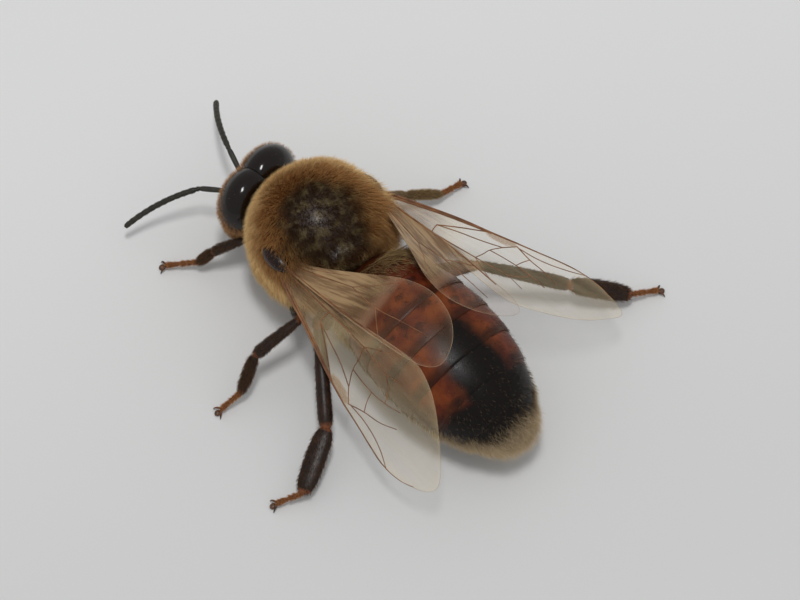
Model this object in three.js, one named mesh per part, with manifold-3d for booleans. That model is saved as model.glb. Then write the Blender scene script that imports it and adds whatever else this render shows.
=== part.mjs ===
// A drone honey bee, life size, standing at rest. Millimetres, +Z up, head towards -Y, its left side +X.
// The solids carry the outline of the coat: the bare shell lies a hair's length inside them.

import * as THREE from 'three';
import { mergeVertices } from 'three/addons/utils/BufferGeometryUtils.js';
import Module from 'manifold-3d';

const wasm = await Module();
wasm.setup();

// ---------------------------------------------------------------- driving dimensions

const GAP = 0.06;
const WING_PLATE = 0.5;
const DEGREE = Math.PI / 180;

const THORAX = { centre: [0, 0, 3.8], half: [2.94, 2.96, 2.76] };
const PRONOTUM_CUT = -1.95;
const PROPODEUM_CUT = 2.05;
const SCUTELLUM = { centre: [0, 1.9, 4.95], half: [1.6, 0.98, 0.74] };

const NECK = [0.0, -2.42, 3.05];
const HEAD_TURN = 12 * DEGREE;
const HEAD_NOD = 8 * DEGREE;
const HEAD = { centre: [0, -0.95, -0.36], half: [1.8, 1.02, 1.5] };
const EYE = { centre: [0.65, -0.92, 0.24], half: [1.42, 0.97, 1.4] };
const CLYPEUS = { centre: [0, -1.55, -1.0], half: [0.92, 0.6, 0.85] };
const MANDIBLE = { root: [0.62, -1.62, -1.62], tip: [0.16, -2.02, -2.02], radius: 0.27 };
const PROBOSCIS = { root: [0, -1.35, -1.72], tip: [0, -0.25, -2.06], radius: 0.3 };

const SCAPE_RADIUS = 0.25;
const FLAGELLUM_RADIUS = 0.26;
const FLAGELLUM_STEPS = 9;
const ANTENNAE = {
  left: {
    socket: [0.72, -4.3, 2.4], elbow: [1.5, -5.42, 2.15], arch: [2.98, -6.22, 1.66], tip: [4.5, -6.68, 1.0],
  },
  right: {
    socket: [0.0, -4.4, 2.4], elbow: [-0.41, -5.76, 2.72], arch: [-1.0, -6.95, 2.3], tip: [-2.2, -8.58, 1.2],
  },
};

const ABDOMEN = {
  waist: [0, 2.5, 3.35],
  rise: [-0.05, 6.6, 3.2],
  tip: [-0.05, 11.75, 1.85],
  halfWidth: 2.86,
  halfHeight: 2.4,
};
const ABDOMEN_SEGMENTS = 7;
const ABDOMEN_CUTS = [0.2, 0.34, 0.48, 0.62, 0.75, 0.88];
const SHINGLE = 0.035;

const TEGULA = { centre: [2.46, 0.4, 4.7], half: [0.42, 0.76, 0.36] };

const FOREWINGS = {
  left: { root: [2.5, 0.4, 4.55], apex: [4.35, 11.2, 2.1], hem: [2.05, 8.2, 4.9] },
  right: { root: [-2.5, 0.4, 4.55], apex: [-7.0, 10.35, 2.15], hem: [-4.35, 9.5, 3.6] },
};
const HINDWINGS = {
  left: { root: [2.4, 0.9, 4.85], apex: [1.7, 8.8, 5.55], hem: [-0.3, 7.0, 6.2] },
  right: { root: [-2.4, 0.9, 4.85], apex: [-2.95, 8.6, 4.9], hem: [-0.45, 6.6, 6.2] },
};
const FOREWING_LEADING = [[0, -0.2], [2.6, -0.6], [5.1, -0.95], [7.2, -1.08], [9.1, -1.1], [10.6, -0.45]];
const FOREWING_TRAILING = [
  [11.25, 0.4], [10.4, 1.38], [9.15, 2.22], [8, 2.7], [6.9, 2.82], [5.4, 2.25], [3, 1.1], [0, 0.25],
];
const HINDWING_LEADING = [[0, -0.2], [3.6, -0.35], [6.4, -0.3], [7.5, -0.1]];
const HINDWING_TRAILING = [
  [7.95, 0.4], [7.7, 1.3], [6.95, 2.05], [5.8, 2.4], [4.5, 2.2], [3, 1.5], [1.2, 0.6], [0, 0.25],
];

const LEG_SHAPES = {
  fore: { coxa: 0.42, femur: 0.36, tibia: 0.27, basitarsus: [0.27, 0.25], tarsus: 0.25 },
  middle: { coxa: 0.46, femur: 0.38, tibia: 0.31, basitarsus: [0.3, 0.25], tarsus: 0.25 },
  hind: { coxa: 0.5, femur: 0.42, tibia: 0.36, basitarsus: [0.5, 0.28], tarsus: 0.25 },
};
const STANCE = {
  left_fore: {
    kind: 'fore', coxa: [0.75, -1.6, 1.85], trochanter: [1.15, -2.0, 0.85],
    knee: [1.72, -2.3, 2.2], ankle: [2.81, -3.23, 1.3], heel: [3.24, -3.61, 0.55], toe: [4.2, -4.54, 0.25],
  },
  right_fore: {
    kind: 'fore', coxa: [-0.75, -1.6, 1.85], trochanter: [-0.95, -2.2, 0.85],
    knee: [-1.25, -3.1, 1.95], ankle: [-1.85, -4.3, 1.05], heel: [-2.0, -4.75, 0.5], toe: [-2.35, -5.75, 0.25],
  },
  left_middle: {
    kind: 'middle', coxa: [0.85, 0.0, 1.7], trochanter: [1.6, 0.5, 0.85],
    knee: [3.02, 2.23, 2.87], ankle: [4.99, 1.75, 1.78], heel: [6.14, 2.16, 0.75], toe: [7.05, 1.98, 0.25],
  },
  right_middle: {
    kind: 'middle', coxa: [-0.85, 0.0, 1.7], trochanter: [-1.6, 0.25, 0.85],
    knee: [-3.2, 0.02, 2.7], ankle: [-4.81, 0.0, 1.1], heel: [-6.16, 0.71, 0.55], toe: [-7.22, 0.75, 0.25],
  },
  left_hind: {
    kind: 'hind', coxa: [0.8, 1.5, 1.8], trochanter: [1.5, 2.1, 0.9],
    knee: [2.68, 3.0, 2.95], ankle: [5.05, 6.0, 1.45], heel: [7.35, 7.15, 0.55], toe: [8.3, 6.66, 0.25],
  },
  right_hind: {
    kind: 'hind', coxa: [-0.8, 1.5, 1.8], trochanter: [-1.65, 2.7, 1.05],
    knee: [-3.97, 5.12, 2.72], ankle: [-6.64, 7.77, 1.36], heel: [-8.48, 9.44, 0.6], toe: [-9.55, 9.9, 0.25],
  },
};
const PAD = { radius: 0.25, reach: 0.2 };
const CLAW = { radius: 0.09, reach: 0.32, spread: 0.36, drop: 0.12 };

// ---------------------------------------------------------------- materials

const material = (colour, roughness) => new THREE.MeshStandardMaterial({ color: colour, roughness, metalness: 0 });

const FINISH = {
  coat: material(0xa07a42, 0.9),
  face: material(0xb07c4e, 0.85),
  eye: material(0x17100d, 0.22),
  horn: material(0x2a1c14, 0.4),
  tegula: material(0x2c160d, 0.25),
  membrane: material(0xcfc4ae, 0.3),
  russet: material(0x8c3a16, 0.4),
  dark: material(0x1d120d, 0.4),
  leg: material(0x24170f, 0.45),
  foot: material(0x7a3d14, 0.5),
};

// ---------------------------------------------------------------- solids and booleans

const vector = (point) => new THREE.Vector3(...point);

/** A closed geometry as a manifold solid: shared vertices merged, collapsed triangles dropped. */
function solidOf(geometry) {
  const bare = geometry.clone();
  bare.deleteAttribute('normal');
  bare.deleteAttribute('uv');
  const merged = mergeVertices(bare, 1e-4);
  const index = merged.index.array;
  const triangles = [];
  for (let i = 0; i < index.length; i += 3) {
    const [a, b, c] = [index[i], index[i + 1], index[i + 2]];
    if (a !== b && b !== c && c !== a) triangles.push(a, b, c);
  }
  const vertProperties = new Float32Array(merged.attributes.position.array);
  return new wasm.Manifold(new wasm.Mesh({ numProp: 3, vertProperties, triVerts: new Uint32Array(triangles) }));
}

function geometryOf(solid) {
  const mesh = solid.getMesh();
  const geometry = new THREE.BufferGeometry();
  geometry.setAttribute('position', new THREE.BufferAttribute(new Float32Array(mesh.vertProperties), 3));
  geometry.setIndex(new THREE.BufferAttribute(new Uint32Array(mesh.triVerts), 1));
  geometry.computeVertexNormals();
  return geometry;
}

const joined = (solids) => solids.reduce((whole, solid) => whole.add(solid));

/** The solid less its neighbours, without the crumbs that a cut may leave. */
function cleared(solid, neighbours) {
  const cut = neighbours.reduce((rest, neighbour) => rest.subtract(neighbour), solid);
  return cut.decompose().reduce((best, piece) => (piece.volume() > best.volume() ? piece : best));
}

/** Everything between two planes across the body. */
function slab(fromY, toY) {
  const box = new THREE.BoxGeometry(20, toY - fromY, 20);
  return solidOf(box.translate(0, (fromY + toY) / 2, 0));
}

const FLOOR = solidOf(new THREE.BoxGeometry(60, 60, 4).translate(0, 0, -2));

function ellipsoid({ centre, half }, { grow = 0, frame = null, sides = 14 } = {}) {
  const geometry = new THREE.SphereGeometry(1, sides, Math.round(sides * 0.6));
  geometry.rotateX(Math.PI / 2);
  geometry.scale(half[0] + grow, half[1] + grow, half[2] + grow);
  geometry.translate(...centre);
  if (frame) geometry.applyMatrix4(frame);
  return solidOf(geometry);
}

// ---------------------------------------------------------------- limbs

const PROFILES = {
  femur: [[0, 0.62], [0.14, 0.86], [0.36, 1], [0.68, 0.9], [0.9, 0.7], [1, 0.6]],
  tibia: [[0, 0.66], [0.12, 0.76], [0.5, 0.88], [0.85, 1], [1, 0.8]],
  basitarsus: [[0, 0.62], [0.12, 0.9], [0.4, 1], [0.8, 0.96], [1, 0.66]],
  tarsus: [[0, 0.8], [0.32, 1], [0.34, 0.8], [0.66, 1], [0.68, 0.8], [1, 1]],
  scape: [[0, 0.9], [0.25, 0.86], [1, 1]],
  spike: [[0, 1], [0.6, 0.7], [1, 0.2]],
};

/** A turned limb from start to end, broad across the ground and thin upright, with rounded ends. */
function limb(start, end, shape, { radius, thickness = radius, grow = 0, sides = 6 }) {
  const from = vector(start);
  const along = vector(end).sub(from);
  const length = along.length();
  const dome = 0.35 * radius * shape[0][1] + grow;
  const outline = shape.map(([share, width]) => new THREE.Vector2(width * radius + grow, share * length));
  const profile = [new THREE.Vector2(0, -dome), ...outline, new THREE.Vector2(0, length + dome)];
  const geometry = new THREE.LatheGeometry(profile, sides);
  geometry.scale(1, 1, (thickness + grow) / (radius + grow));
  const axis = along.normalize();
  const upright = new THREE.Vector3(0, 0, 1).addScaledVector(axis, -axis.z).normalize();
  const across = new THREE.Vector3().crossVectors(axis, upright);
  const placing = new THREE.Matrix4().makeBasis(across, axis, upright).setPosition(from);
  return solidOf(geometry.applyMatrix4(placing));
}

// ---------------------------------------------------------------- head

const HEAD_FRAME = new THREE.Matrix4().makeTranslation(...NECK)
  .multiply(new THREE.Matrix4().makeRotationZ(HEAD_TURN))
  .multiply(new THREE.Matrix4().makeRotationX(HEAD_NOD));

const inHead = (point) => vector(point).applyMatrix4(HEAD_FRAME).toArray();
const mirrored = ([x, y, z], side) => [side * x, y, z];

function eyeball(side, grow = 0) {
  const eye = { centre: mirrored(EYE.centre, side), half: EYE.half };
  return ellipsoid(eye, { grow, frame: HEAD_FRAME, sides: 15 });
}

/** The half of space on one side of the head's midline, short of it by half a gap. */
function headHalf(side) {
  const box = new THREE.BoxGeometry(8, 16, 16);
  return solidOf(box.translate(side * (4 + GAP / 2), 0, 0).applyMatrix4(HEAD_FRAME));
}

function headCapsule(grow) {
  const face = ellipsoid(CLYPEUS, { grow, frame: HEAD_FRAME, sides: 12 });
  return ellipsoid(HEAD, { grow, frame: HEAD_FRAME }).add(face);
}

function headParts(behind) {
  const sockets = [eyeball(1, GAP), eyeball(-1, GAP)];
  const parts = [['head', cleared(headCapsule(0), [...behind, ...sockets]), FINISH.face, NECK]];
  for (const [name, side] of [['left', 1], ['right', -1]]) {
    const half = eyeball(side).intersect(headHalf(side));
    parts.push([`eye_${name}`, cleared(half, behind), FINISH.eye, inHead(mirrored(EYE.centre, side))]);
  }
  return parts;
}

function mouthParts(head) {
  const tongue = (grow) => limb(inHead(PROBOSCIS.root), inHead(PROBOSCIS.tip), PROFILES.spike,
    { radius: PROBOSCIS.radius, grow });
  const parts = [['proboscis', cleared(tongue(0), [head]), FINISH.horn, inHead(PROBOSCIS.root)]];
  for (const [name, side] of [['left', 1], ['right', -1]]) {
    const root = inHead(mirrored(MANDIBLE.root, side));
    const jaw = limb(root, inHead(mirrored(MANDIBLE.tip, side)), PROFILES.tibia, { radius: MANDIBLE.radius });
    const half = jaw.intersect(headHalf(side));
    parts.push([`mandible_${name}`, cleared(half, [head, tongue(GAP)]), FINISH.horn, root]);
  }
  return parts;
}

function antennaParts(name, { socket, elbow, arch, tip }, head) {
  const scape = (grow) => limb(socket, elbow, PROFILES.scape, { radius: SCAPE_RADIUS, grow });
  const route = new THREE.CatmullRomCurve3([elbow, arch, tip].map(vector));
  const section = new THREE.Shape().absarc(0, 0, FLAGELLUM_RADIUS, 0, 2 * Math.PI);
  const tube = new THREE.ExtrudeGeometry(section, { extrudePath: route, steps: FLAGELLUM_STEPS, curveSegments: 4 });
  return [
    [`antenna_scape_${name}`, cleared(scape(0), head), FINISH.horn, socket],
    [`antenna_flagellum_${name}`, cleared(solidOf(tube), [scape(GAP)]), FINISH.horn, elbow],
  ];
}

// ---------------------------------------------------------------- thorax

const thoraxHull = (grow = 0) => ellipsoid(THORAX, { grow, sides: 18 });
const scutellumHull = (grow = 0) => ellipsoid(SCUTELLUM, { grow, sides: 12 });
const tegulaHull = (side, grow = 0) => {
  const plate = { centre: mirrored(TEGULA.centre, side), half: TEGULA.half };
  return ellipsoid(plate, { grow, sides: 10 });
};

function thoraxParts() {
  const tegulae = [tegulaHull(1, GAP), tegulaHull(-1, GAP)];
  const cutters = [scutellumHull(GAP), ...tegulae];
  const piece = (fromY, toY) => cleared(thoraxHull().intersect(slab(fromY, toY)), cutters);
  return [
    ['pronotum', piece(-5, PRONOTUM_CUT - GAP / 2), FINISH.coat, [0, PRONOTUM_CUT, THORAX.centre[2]]],
    ['mesothorax', piece(PRONOTUM_CUT + GAP / 2, PROPODEUM_CUT - GAP / 2), FINISH.coat, THORAX.centre],
    ['scutellum', scutellumHull(), FINISH.coat, SCUTELLUM.centre],
    ['propodeum', piece(PROPODEUM_CUT + GAP / 2, 5), FINISH.coat, [0, PROPODEUM_CUT, THORAX.centre[2]]],
    ['tegula_left', tegulaHull(1), FINISH.tegula, TEGULA.centre],
    ['tegula_right', tegulaHull(-1), FINISH.tegula, mirrored(TEGULA.centre, -1)],
  ];
}

// ---------------------------------------------------------------- abdomen

const ABDOMEN_LINE = new THREE.QuadraticBezierCurve3(...[ABDOMEN.waist, ABDOMEN.rise, ABDOMEN.tip].map(vector));
const ABDOMEN_LENGTH = ABDOMEN_LINE.getLength();

/** Girth of the abdomen as a share of its greatest, from the waist (0) to the tip (1); the front is the blunter. */
function girth(share) {
  const swell = Math.sin(Math.PI * THREE.MathUtils.clamp(share, 0, 1) ** 0.98);
  return swell ** (share < 0.5 ? 0.26 : 0.44);
}

/** Bends a lathe that stands on Y from 0 to 1 onto the abdomen's line. */
function bendToAbdomen(geometry) {
  const points = geometry.attributes.position;
  for (let i = 0; i < points.count; i += 1) {
    const share = THREE.MathUtils.clamp(points.getY(i), 0, 1);
    const overrun = (points.getY(i) - share) * ABDOMEN_LENGTH;
    const along = ABDOMEN_LINE.getTangentAt(share);
    const across = new THREE.Vector3(1, 0, 0).addScaledVector(along, -along.x).normalize();
    const upright = new THREE.Vector3().crossVectors(across, along);
    const place = ABDOMEN_LINE.getPointAt(share).addScaledVector(along, overrun);
    place.addScaledVector(across, points.getX(i)).addScaledVector(upright, points.getZ(i));
    points.setXYZ(i, place.x, place.y, place.z);
  }
  return geometry;
}

/** A lathe over one stretch of the abdomen, closed by a flat across each end. */
function abdomenStretch(from, to, { grow = 0, shingle = 0, rings = 4, sides = 18 }) {
  const profile = [new THREE.Vector2(0, from)];
  for (let ring = 0; ring <= rings; ring += 1) {
    const share = from + (to - from) * ring / rings;
    const overlap = shingle * (2 * ring / rings - 1);
    const radius = girth(share) * ABDOMEN.halfWidth + overlap + grow;
    if (radius > 0.05) profile.push(new THREE.Vector2(radius, share));
  }
  profile.push(new THREE.Vector2(0, to));
  const geometry = new THREE.LatheGeometry(profile, sides);
  geometry.scale(1, 1, (ABDOMEN.halfHeight + grow) / (ABDOMEN.halfWidth + grow));
  return solidOf(bendToAbdomen(geometry));
}

const abdomenHull = (grow) => abdomenStretch(0, 1, { grow, rings: 18 });

function abdomenParts(thorax) {
  const halfGap = GAP / 2 / ABDOMEN_LENGTH;
  const bounds = [0.005, ...ABDOMEN_CUTS, 1];
  return Array.from({ length: ABDOMEN_SEGMENTS }, (_, i) => {
    const last = i === ABDOMEN_SEGMENTS - 1;
    const to = last ? 1 : bounds[i + 1] - halfGap;
    const detail = { shingle: last ? 0 : SHINGLE, rings: i === 0 || last ? 5 : 2 };
    const stretch = abdomenStretch(bounds[i] + halfGap, to, detail);
    const pivot = ABDOMEN_LINE.getPointAt(bounds[i]).toArray();
    return [`abdomen_${i + 1}`, cleared(stretch, thorax), i < 4 ? FINISH.russet : FINISH.dark, pivot];
  });
}

// ---------------------------------------------------------------- wings

/** A flat plate of wing in the plane of its root, apex and hem; the outline runs out and back again. */
function wingPlate({ root, apex, hem }, leading, trailing, grow = 0) {
  const out = vector(apex).sub(vector(root)).normalize();
  const toHem = vector(hem).sub(vector(root));
  const chord = toHem.addScaledVector(out, -toHem.dot(out)).normalize();
  const outline = new THREE.Shape();
  outline.moveTo(...leading[0]);
  outline.splineThru([...leading.slice(1), ...trailing].map((point) => new THREE.Vector2(...point)));
  outline.closePath();
  const bevel = { bevelEnabled: grow > 0, bevelSize: grow, bevelThickness: grow, bevelSegments: 1 };
  const plate = new THREE.ExtrudeGeometry(outline, { depth: WING_PLATE, curveSegments: 3, ...bevel });
  plate.translate(0, 0, -WING_PLATE / 2);
  const face = new THREE.Vector3().crossVectors(out, chord);
  plate.applyMatrix4(new THREE.Matrix4().makeBasis(out, chord, face).setPosition(vector(root)));
  return solidOf(plate);
}

function wingParts(body) {
  const parts = [];
  for (const name of ['left', 'right']) {
    const fore = (grow) => wingPlate(FOREWINGS[name], FOREWING_LEADING, FOREWING_TRAILING, grow);
    const hind = wingPlate(HINDWINGS[name], HINDWING_LEADING, HINDWING_TRAILING);
    parts.push([`forewing_${name}`, cleared(fore(0), body), FINISH.membrane, FOREWINGS[name].root]);
    parts.push([`hindwing_${name}`, cleared(hind, [...body, fore(GAP)]), FINISH.membrane, HINDWINGS[name].root]);
  }
  return parts;
}

// ---------------------------------------------------------------- legs

/** The foot beyond the heel: short joints, a sole pad and a pair of claws, flat where they stand. */
function tarsus(heel, toe, radius) {
  const ahead = vector(toe).sub(vector(heel)).setZ(0).normalize();
  const across = new THREE.Vector3(-ahead.y, ahead.x, 0);
  const sole = vector(toe).addScaledVector(ahead, PAD.reach).setZ(PAD.radius * 0.6);
  const pad = ellipsoid({ centre: sole.toArray(), half: Array(3).fill(PAD.radius) }, { sides: 7 });
  const claws = [1, -1].map((side) => {
    const tip = sole.clone().addScaledVector(ahead, CLAW.reach - PAD.reach);
    tip.addScaledVector(across, side * CLAW.spread).setZ(CLAW.drop);
    return limb(toe, tip.toArray(), PROFILES.spike, { radius: CLAW.radius, sides: 4 });
  });
  return joined([limb(heel, toe, PROFILES.tarsus, { radius, sides: 6 }), pad, ...claws]).subtract(FLOOR);
}

function legParts(name, { kind, coxa, trochanter, knee, ankle, heel, toe }, body) {
  const shape = LEG_SHAPES[kind];
  const hip = (grow) => limb(coxa, trochanter, PROFILES.femur, { radius: shape.coxa, grow });
  const femur = (grow) => limb(trochanter, knee, PROFILES.femur, { radius: shape.femur, grow });
  const tibia = (grow) => limb(knee, ankle, PROFILES.tibia, { radius: shape.tibia, grow });
  const [broad, thin] = shape.basitarsus;
  const basitarsus = (grow) => limb(ankle, heel, PROFILES.basitarsus, { radius: broad, thickness: thin, grow });
  return [
    [`coxa_${name}`, cleared(hip(0), body), FINISH.leg, coxa],
    [`femur_${name}`, cleared(femur(0), [...body, hip(GAP)]), FINISH.leg, trochanter],
    [`tibia_${name}`, cleared(tibia(0), [...body, femur(GAP)]), FINISH.leg, knee],
    [`basitarsus_${name}`, cleared(basitarsus(0), [tibia(GAP)]).subtract(FLOOR), FINISH.leg, ankle],
    [`tarsus_${name}`, cleared(tarsus(heel, toe, shape.tarsus), [basitarsus(GAP)]), FINISH.foot, heel],
  ];
}

// ---------------------------------------------------------------- assembly

/** One named mesh for each part, turned about its own pivot, gathered in a group. */
function groupOf(parts) {
  const group = new THREE.Group();
  for (const [name, solid, finish, pivot] of parts) {
    const geometry = geometryOf(solid).translate(...pivot.map((value) => -value));
    const mesh = new THREE.Mesh(geometry, finish);
    mesh.name = name;
    mesh.position.set(...pivot);
    group.add(mesh);
  }
  return group;
}

function buildBee() {
  const thorax = [thoraxHull(GAP), scutellumHull(GAP)];
  const head = [headCapsule(GAP), eyeball(1, GAP), eyeball(-1, GAP)];
  const trunk = [...thorax, abdomenHull(GAP)];
  const shoulders = [tegulaHull(1, GAP), tegulaHull(-1, GAP)];
  const bee = new THREE.Group();
  bee.add(groupOf(headParts(thorax)));
  bee.add(groupOf(mouthParts(headCapsule(GAP))));
  bee.add(groupOf(thoraxParts()));
  bee.add(groupOf(abdomenParts(thorax)));
  bee.add(groupOf(wingParts([...trunk, ...shoulders])));
  for (const [name, antenna] of Object.entries(ANTENNAE)) bee.add(groupOf(antennaParts(name, antenna, head)));
  for (const [name, leg] of Object.entries(STANCE)) bee.add(groupOf(legParts(name, leg, [...trunk, ...head])));
  return bee;
}

/** The bee moved so that its bounding box stands centred on the origin, feet at zero. */
function centred(bee) {
  const box = new THREE.Box3().setFromObject(bee, true);
  const middle = box.getCenter(new THREE.Vector3());
  bee.position.set(-middle.x, -middle.y, -box.min.z);
  return new THREE.Group().add(bee);
}

export default centred(buildBee());
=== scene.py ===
"""A drone honey bee at rest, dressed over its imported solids.

Every piece is modelled in millimetres in the bee's own frame (head towards -Y, its left side +X, up +Z)
and is then set into the row frame in metres. The bare shell lies a hair's length inside the solids, and
the coat of solid tufts fills the rest.
"""

import logging
import math
from contextlib import contextmanager
from dataclasses import dataclass, field
from enum import Enum
from typing import Callable, Iterator, Optional, Sequence, Union

import bmesh
import bpy
import numpy as np
from mathutils import Matrix, Vector
from mathutils.kdtree import KDTree

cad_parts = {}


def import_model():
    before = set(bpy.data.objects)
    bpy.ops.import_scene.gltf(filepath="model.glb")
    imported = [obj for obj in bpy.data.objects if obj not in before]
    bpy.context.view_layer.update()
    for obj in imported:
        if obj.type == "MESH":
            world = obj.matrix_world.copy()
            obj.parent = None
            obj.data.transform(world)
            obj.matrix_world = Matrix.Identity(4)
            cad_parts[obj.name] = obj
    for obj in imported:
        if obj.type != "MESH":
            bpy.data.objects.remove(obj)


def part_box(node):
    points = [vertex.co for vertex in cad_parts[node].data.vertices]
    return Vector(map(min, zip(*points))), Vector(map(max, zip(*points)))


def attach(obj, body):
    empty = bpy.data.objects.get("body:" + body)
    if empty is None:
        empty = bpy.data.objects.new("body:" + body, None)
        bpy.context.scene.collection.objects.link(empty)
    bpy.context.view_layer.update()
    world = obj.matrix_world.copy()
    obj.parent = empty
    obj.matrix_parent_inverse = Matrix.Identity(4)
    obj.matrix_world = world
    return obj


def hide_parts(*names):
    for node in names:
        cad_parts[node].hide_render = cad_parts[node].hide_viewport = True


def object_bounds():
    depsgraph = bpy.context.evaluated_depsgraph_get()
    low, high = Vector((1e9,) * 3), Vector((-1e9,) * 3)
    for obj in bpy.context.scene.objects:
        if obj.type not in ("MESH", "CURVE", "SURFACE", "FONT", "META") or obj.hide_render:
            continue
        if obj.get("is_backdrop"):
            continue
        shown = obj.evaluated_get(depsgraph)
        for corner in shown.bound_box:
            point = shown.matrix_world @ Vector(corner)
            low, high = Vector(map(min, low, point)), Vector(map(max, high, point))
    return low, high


LOG = logging.getLogger("bee")
MM = 0.001
BODY = "root"
SEED = 20
PATCH = 0.003
UP = Vector((0, 0, 1))
SMOOTH_BELOW = math.radians(50)

Colour = tuple[float, float, float]
Point = tuple[float, float, float]
Test = Callable[[Vector], bool]
Piece = bpy.types.Object
Rows = np.ndarray
Draw = np.random.Generator


def paint(red: int, green: int, blue: int) -> Colour:
    """Turns a colour as seen on a screen, from 0 to 255, into the renderer's linear light."""
    shares = (channel / 255 for channel in (red, green, blue))
    return tuple(s / 12.92 if s <= 0.04045 else ((s + 0.055) / 1.055) ** 2.4 for s in shares)


class Side(Enum):
    """The bee's own left and right, with the sign of X on that side."""

    LEFT = 1
    RIGHT = -1

    @property
    def word(self) -> str:
        """The side as it is written in names."""
        return self.name.lower()

    def mirror(self, point: Point) -> Point:
        """Takes a point given for the left side over to this side."""
        return (point[0] * self.value, point[1], point[2])


# ---------------------------------------------------------------- shader graph


class Shader:
    """One material, with its nodes built from Python expressions."""

    def __init__(self, name: str) -> None:
        """Starts an empty material with a principled surface.

        Args:
            name: The material's name.
        """
        self.material = bpy.data.materials.new(name)
        self.material.use_nodes = True
        self.nodes = self.material.node_tree.nodes
        self.links = self.material.node_tree.links
        self.nodes.clear()
        self.surface = self.nodes.new("ShaderNodeBsdfPrincipled")
        output = self.nodes.new("ShaderNodeOutputMaterial")
        self.links.new(self.surface.outputs[0], output.inputs[0])

    def put(self, socket: bpy.types.NodeSocket, value: object) -> None:
        """Links a value's socket into an input, or sets the plain value on it."""
        if isinstance(value, Value):
            self.links.new(value.socket, socket)
        elif isinstance(value, tuple) and socket.type == "RGBA":
            socket.default_value = (*value, 1.0)
        else:
            socket.default_value = value

    def node(self, kind: str, inputs: dict, output: Union[int, str] = 0, **settings: object) -> "Value":
        """Adds one node.

        Args:
            kind: The node's type.
            inputs: What goes into its sockets, by name or number.
            output: Which of its outputs to hand back.
            settings: The node's own settings, set before its sockets.

        Returns:
            The chosen output.
        """
        made = self.nodes.new(kind)
        for key, setting in settings.items():
            setattr(made, key, setting)
        for key, value in inputs.items():
            self.put(made.inputs[key], value)
        return Value(self, made.outputs[output])

    def mix(self, first: object, second: object, factor: object) -> "Value":
        """Mixes two colours by a factor from 0 to 1."""
        inputs = {0: factor, 6: first, 7: second}
        return self.node("ShaderNodeMix", inputs, 2, data_type="RGBA", clamp_factor=True)

    def mark(self, name: str) -> "Value":
        """Reads one of the piece's own attributes."""
        return self.node("ShaderNodeAttribute", {}, "Fac", attribute_name=name)

    def noise(self, grain: float) -> "Value":
        """Noise over the piece's own coordinates, with grains of so many millimetres."""
        point = self.node("ShaderNodeTexCoord", {}, "Object")
        inputs = {"Vector": point, "Scale": 1 / (grain * MM), "Detail": 3.0, "Roughness": 0.55}
        return self.node("ShaderNodeTexNoise", inputs, 0)

    def streaks(self, grain: float) -> "Value":
        """Noise drawn out along the mark "lay", the way that a wing's folds run, in millimetres."""
        point = self.node("ShaderNodeAttribute", {}, "Vector", attribute_name="lay")
        inputs = {"Vector": point, "Scale": 1 / grain, "Detail": 3.0, "Roughness": 0.5}
        return self.node("ShaderNodeTexNoise", inputs, 0)

    def cells(self, grain: float) -> "Value":
        """Distance to the nearest of many scattered dots, so many millimetres apart."""
        point = self.node("ShaderNodeTexCoord", {}, "Object")
        inputs = {"Vector": point, "Scale": 1 / (grain * MM)}
        return self.node("ShaderNodeTexVoronoi", inputs, 0)

    def bump(self, height: "Value", depth: float) -> None:
        """Raises the surface by a height from 0 to 1, so many millimetres deep."""
        inputs = {"Strength": 1.0, "Distance": depth * MM, "Height": height}
        self.dress(Normal=self.node("ShaderNodeBump", inputs))

    def dress(self, **sockets: object) -> None:
        """Fills the surface's sockets; an underscore in a name stands for a space."""
        for name, value in sockets.items():
            self.put(self.surface.inputs[name.replace("_", " ")], value)


class Value:
    """A node's output, on which Python's operators add Math nodes."""

    def __init__(self, shader: Shader, socket: bpy.types.NodeSocket) -> None:
        """Wraps one output.

        Args:
            shader: The material that it belongs to.
            socket: The output.
        """
        self.shader = shader
        self.socket = socket

    def math(self, operation: str, *terms: object) -> "Value":
        """Adds one Math node over the terms."""
        return self.shader.node("ShaderNodeMath", dict(enumerate(terms)), 0, operation=operation)

    def __add__(self, other: object) -> "Value":
        """Sum."""
        return self.math("ADD", self, other)

    __radd__ = __add__

    def __sub__(self, other: object) -> "Value":
        """Difference."""
        return self.math("SUBTRACT", self, other)

    def __rsub__(self, other: object) -> "Value":
        """Difference, with the number first."""
        return self.math("SUBTRACT", other, self)

    def __mul__(self, other: object) -> "Value":
        """Product."""
        return self.math("MULTIPLY", self, other)

    __rmul__ = __mul__

    def __pow__(self, other: object) -> "Value":
        """Power."""
        return self.math("POWER", self, other)

    def most(self, other: object) -> "Value":
        """The greater of two values."""
        return self.math("MAXIMUM", self, other)

    def rise(self, low: float, high: float) -> "Value":
        """Goes smoothly from 0 at low to 1 at high, also where low is the greater."""
        inputs = {"Value": self, "From Min": low, "From Max": high}
        return self.shader.node("ShaderNodeMapRange", inputs, 0, interpolation_type="SMOOTHSTEP", clamp=True)


# ---------------------------------------------------------------- finishes


class Finish:
    """A material that is made once and worn by many pieces."""

    _made: dict = {}

    def build(self, shader: Shader) -> None:
        """Fills the material; each finish has its own."""
        raise NotImplementedError

    def wear(self, piece: Piece) -> None:
        """Puts the material on a piece."""
        name = getattr(self, "name")
        if name not in Finish._made:
            shader = Shader(name)
            self.build(shader)
            Finish._made[name] = shader.material
        piece.data.materials.clear()
        piece.data.materials.append(Finish._made[name])


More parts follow.
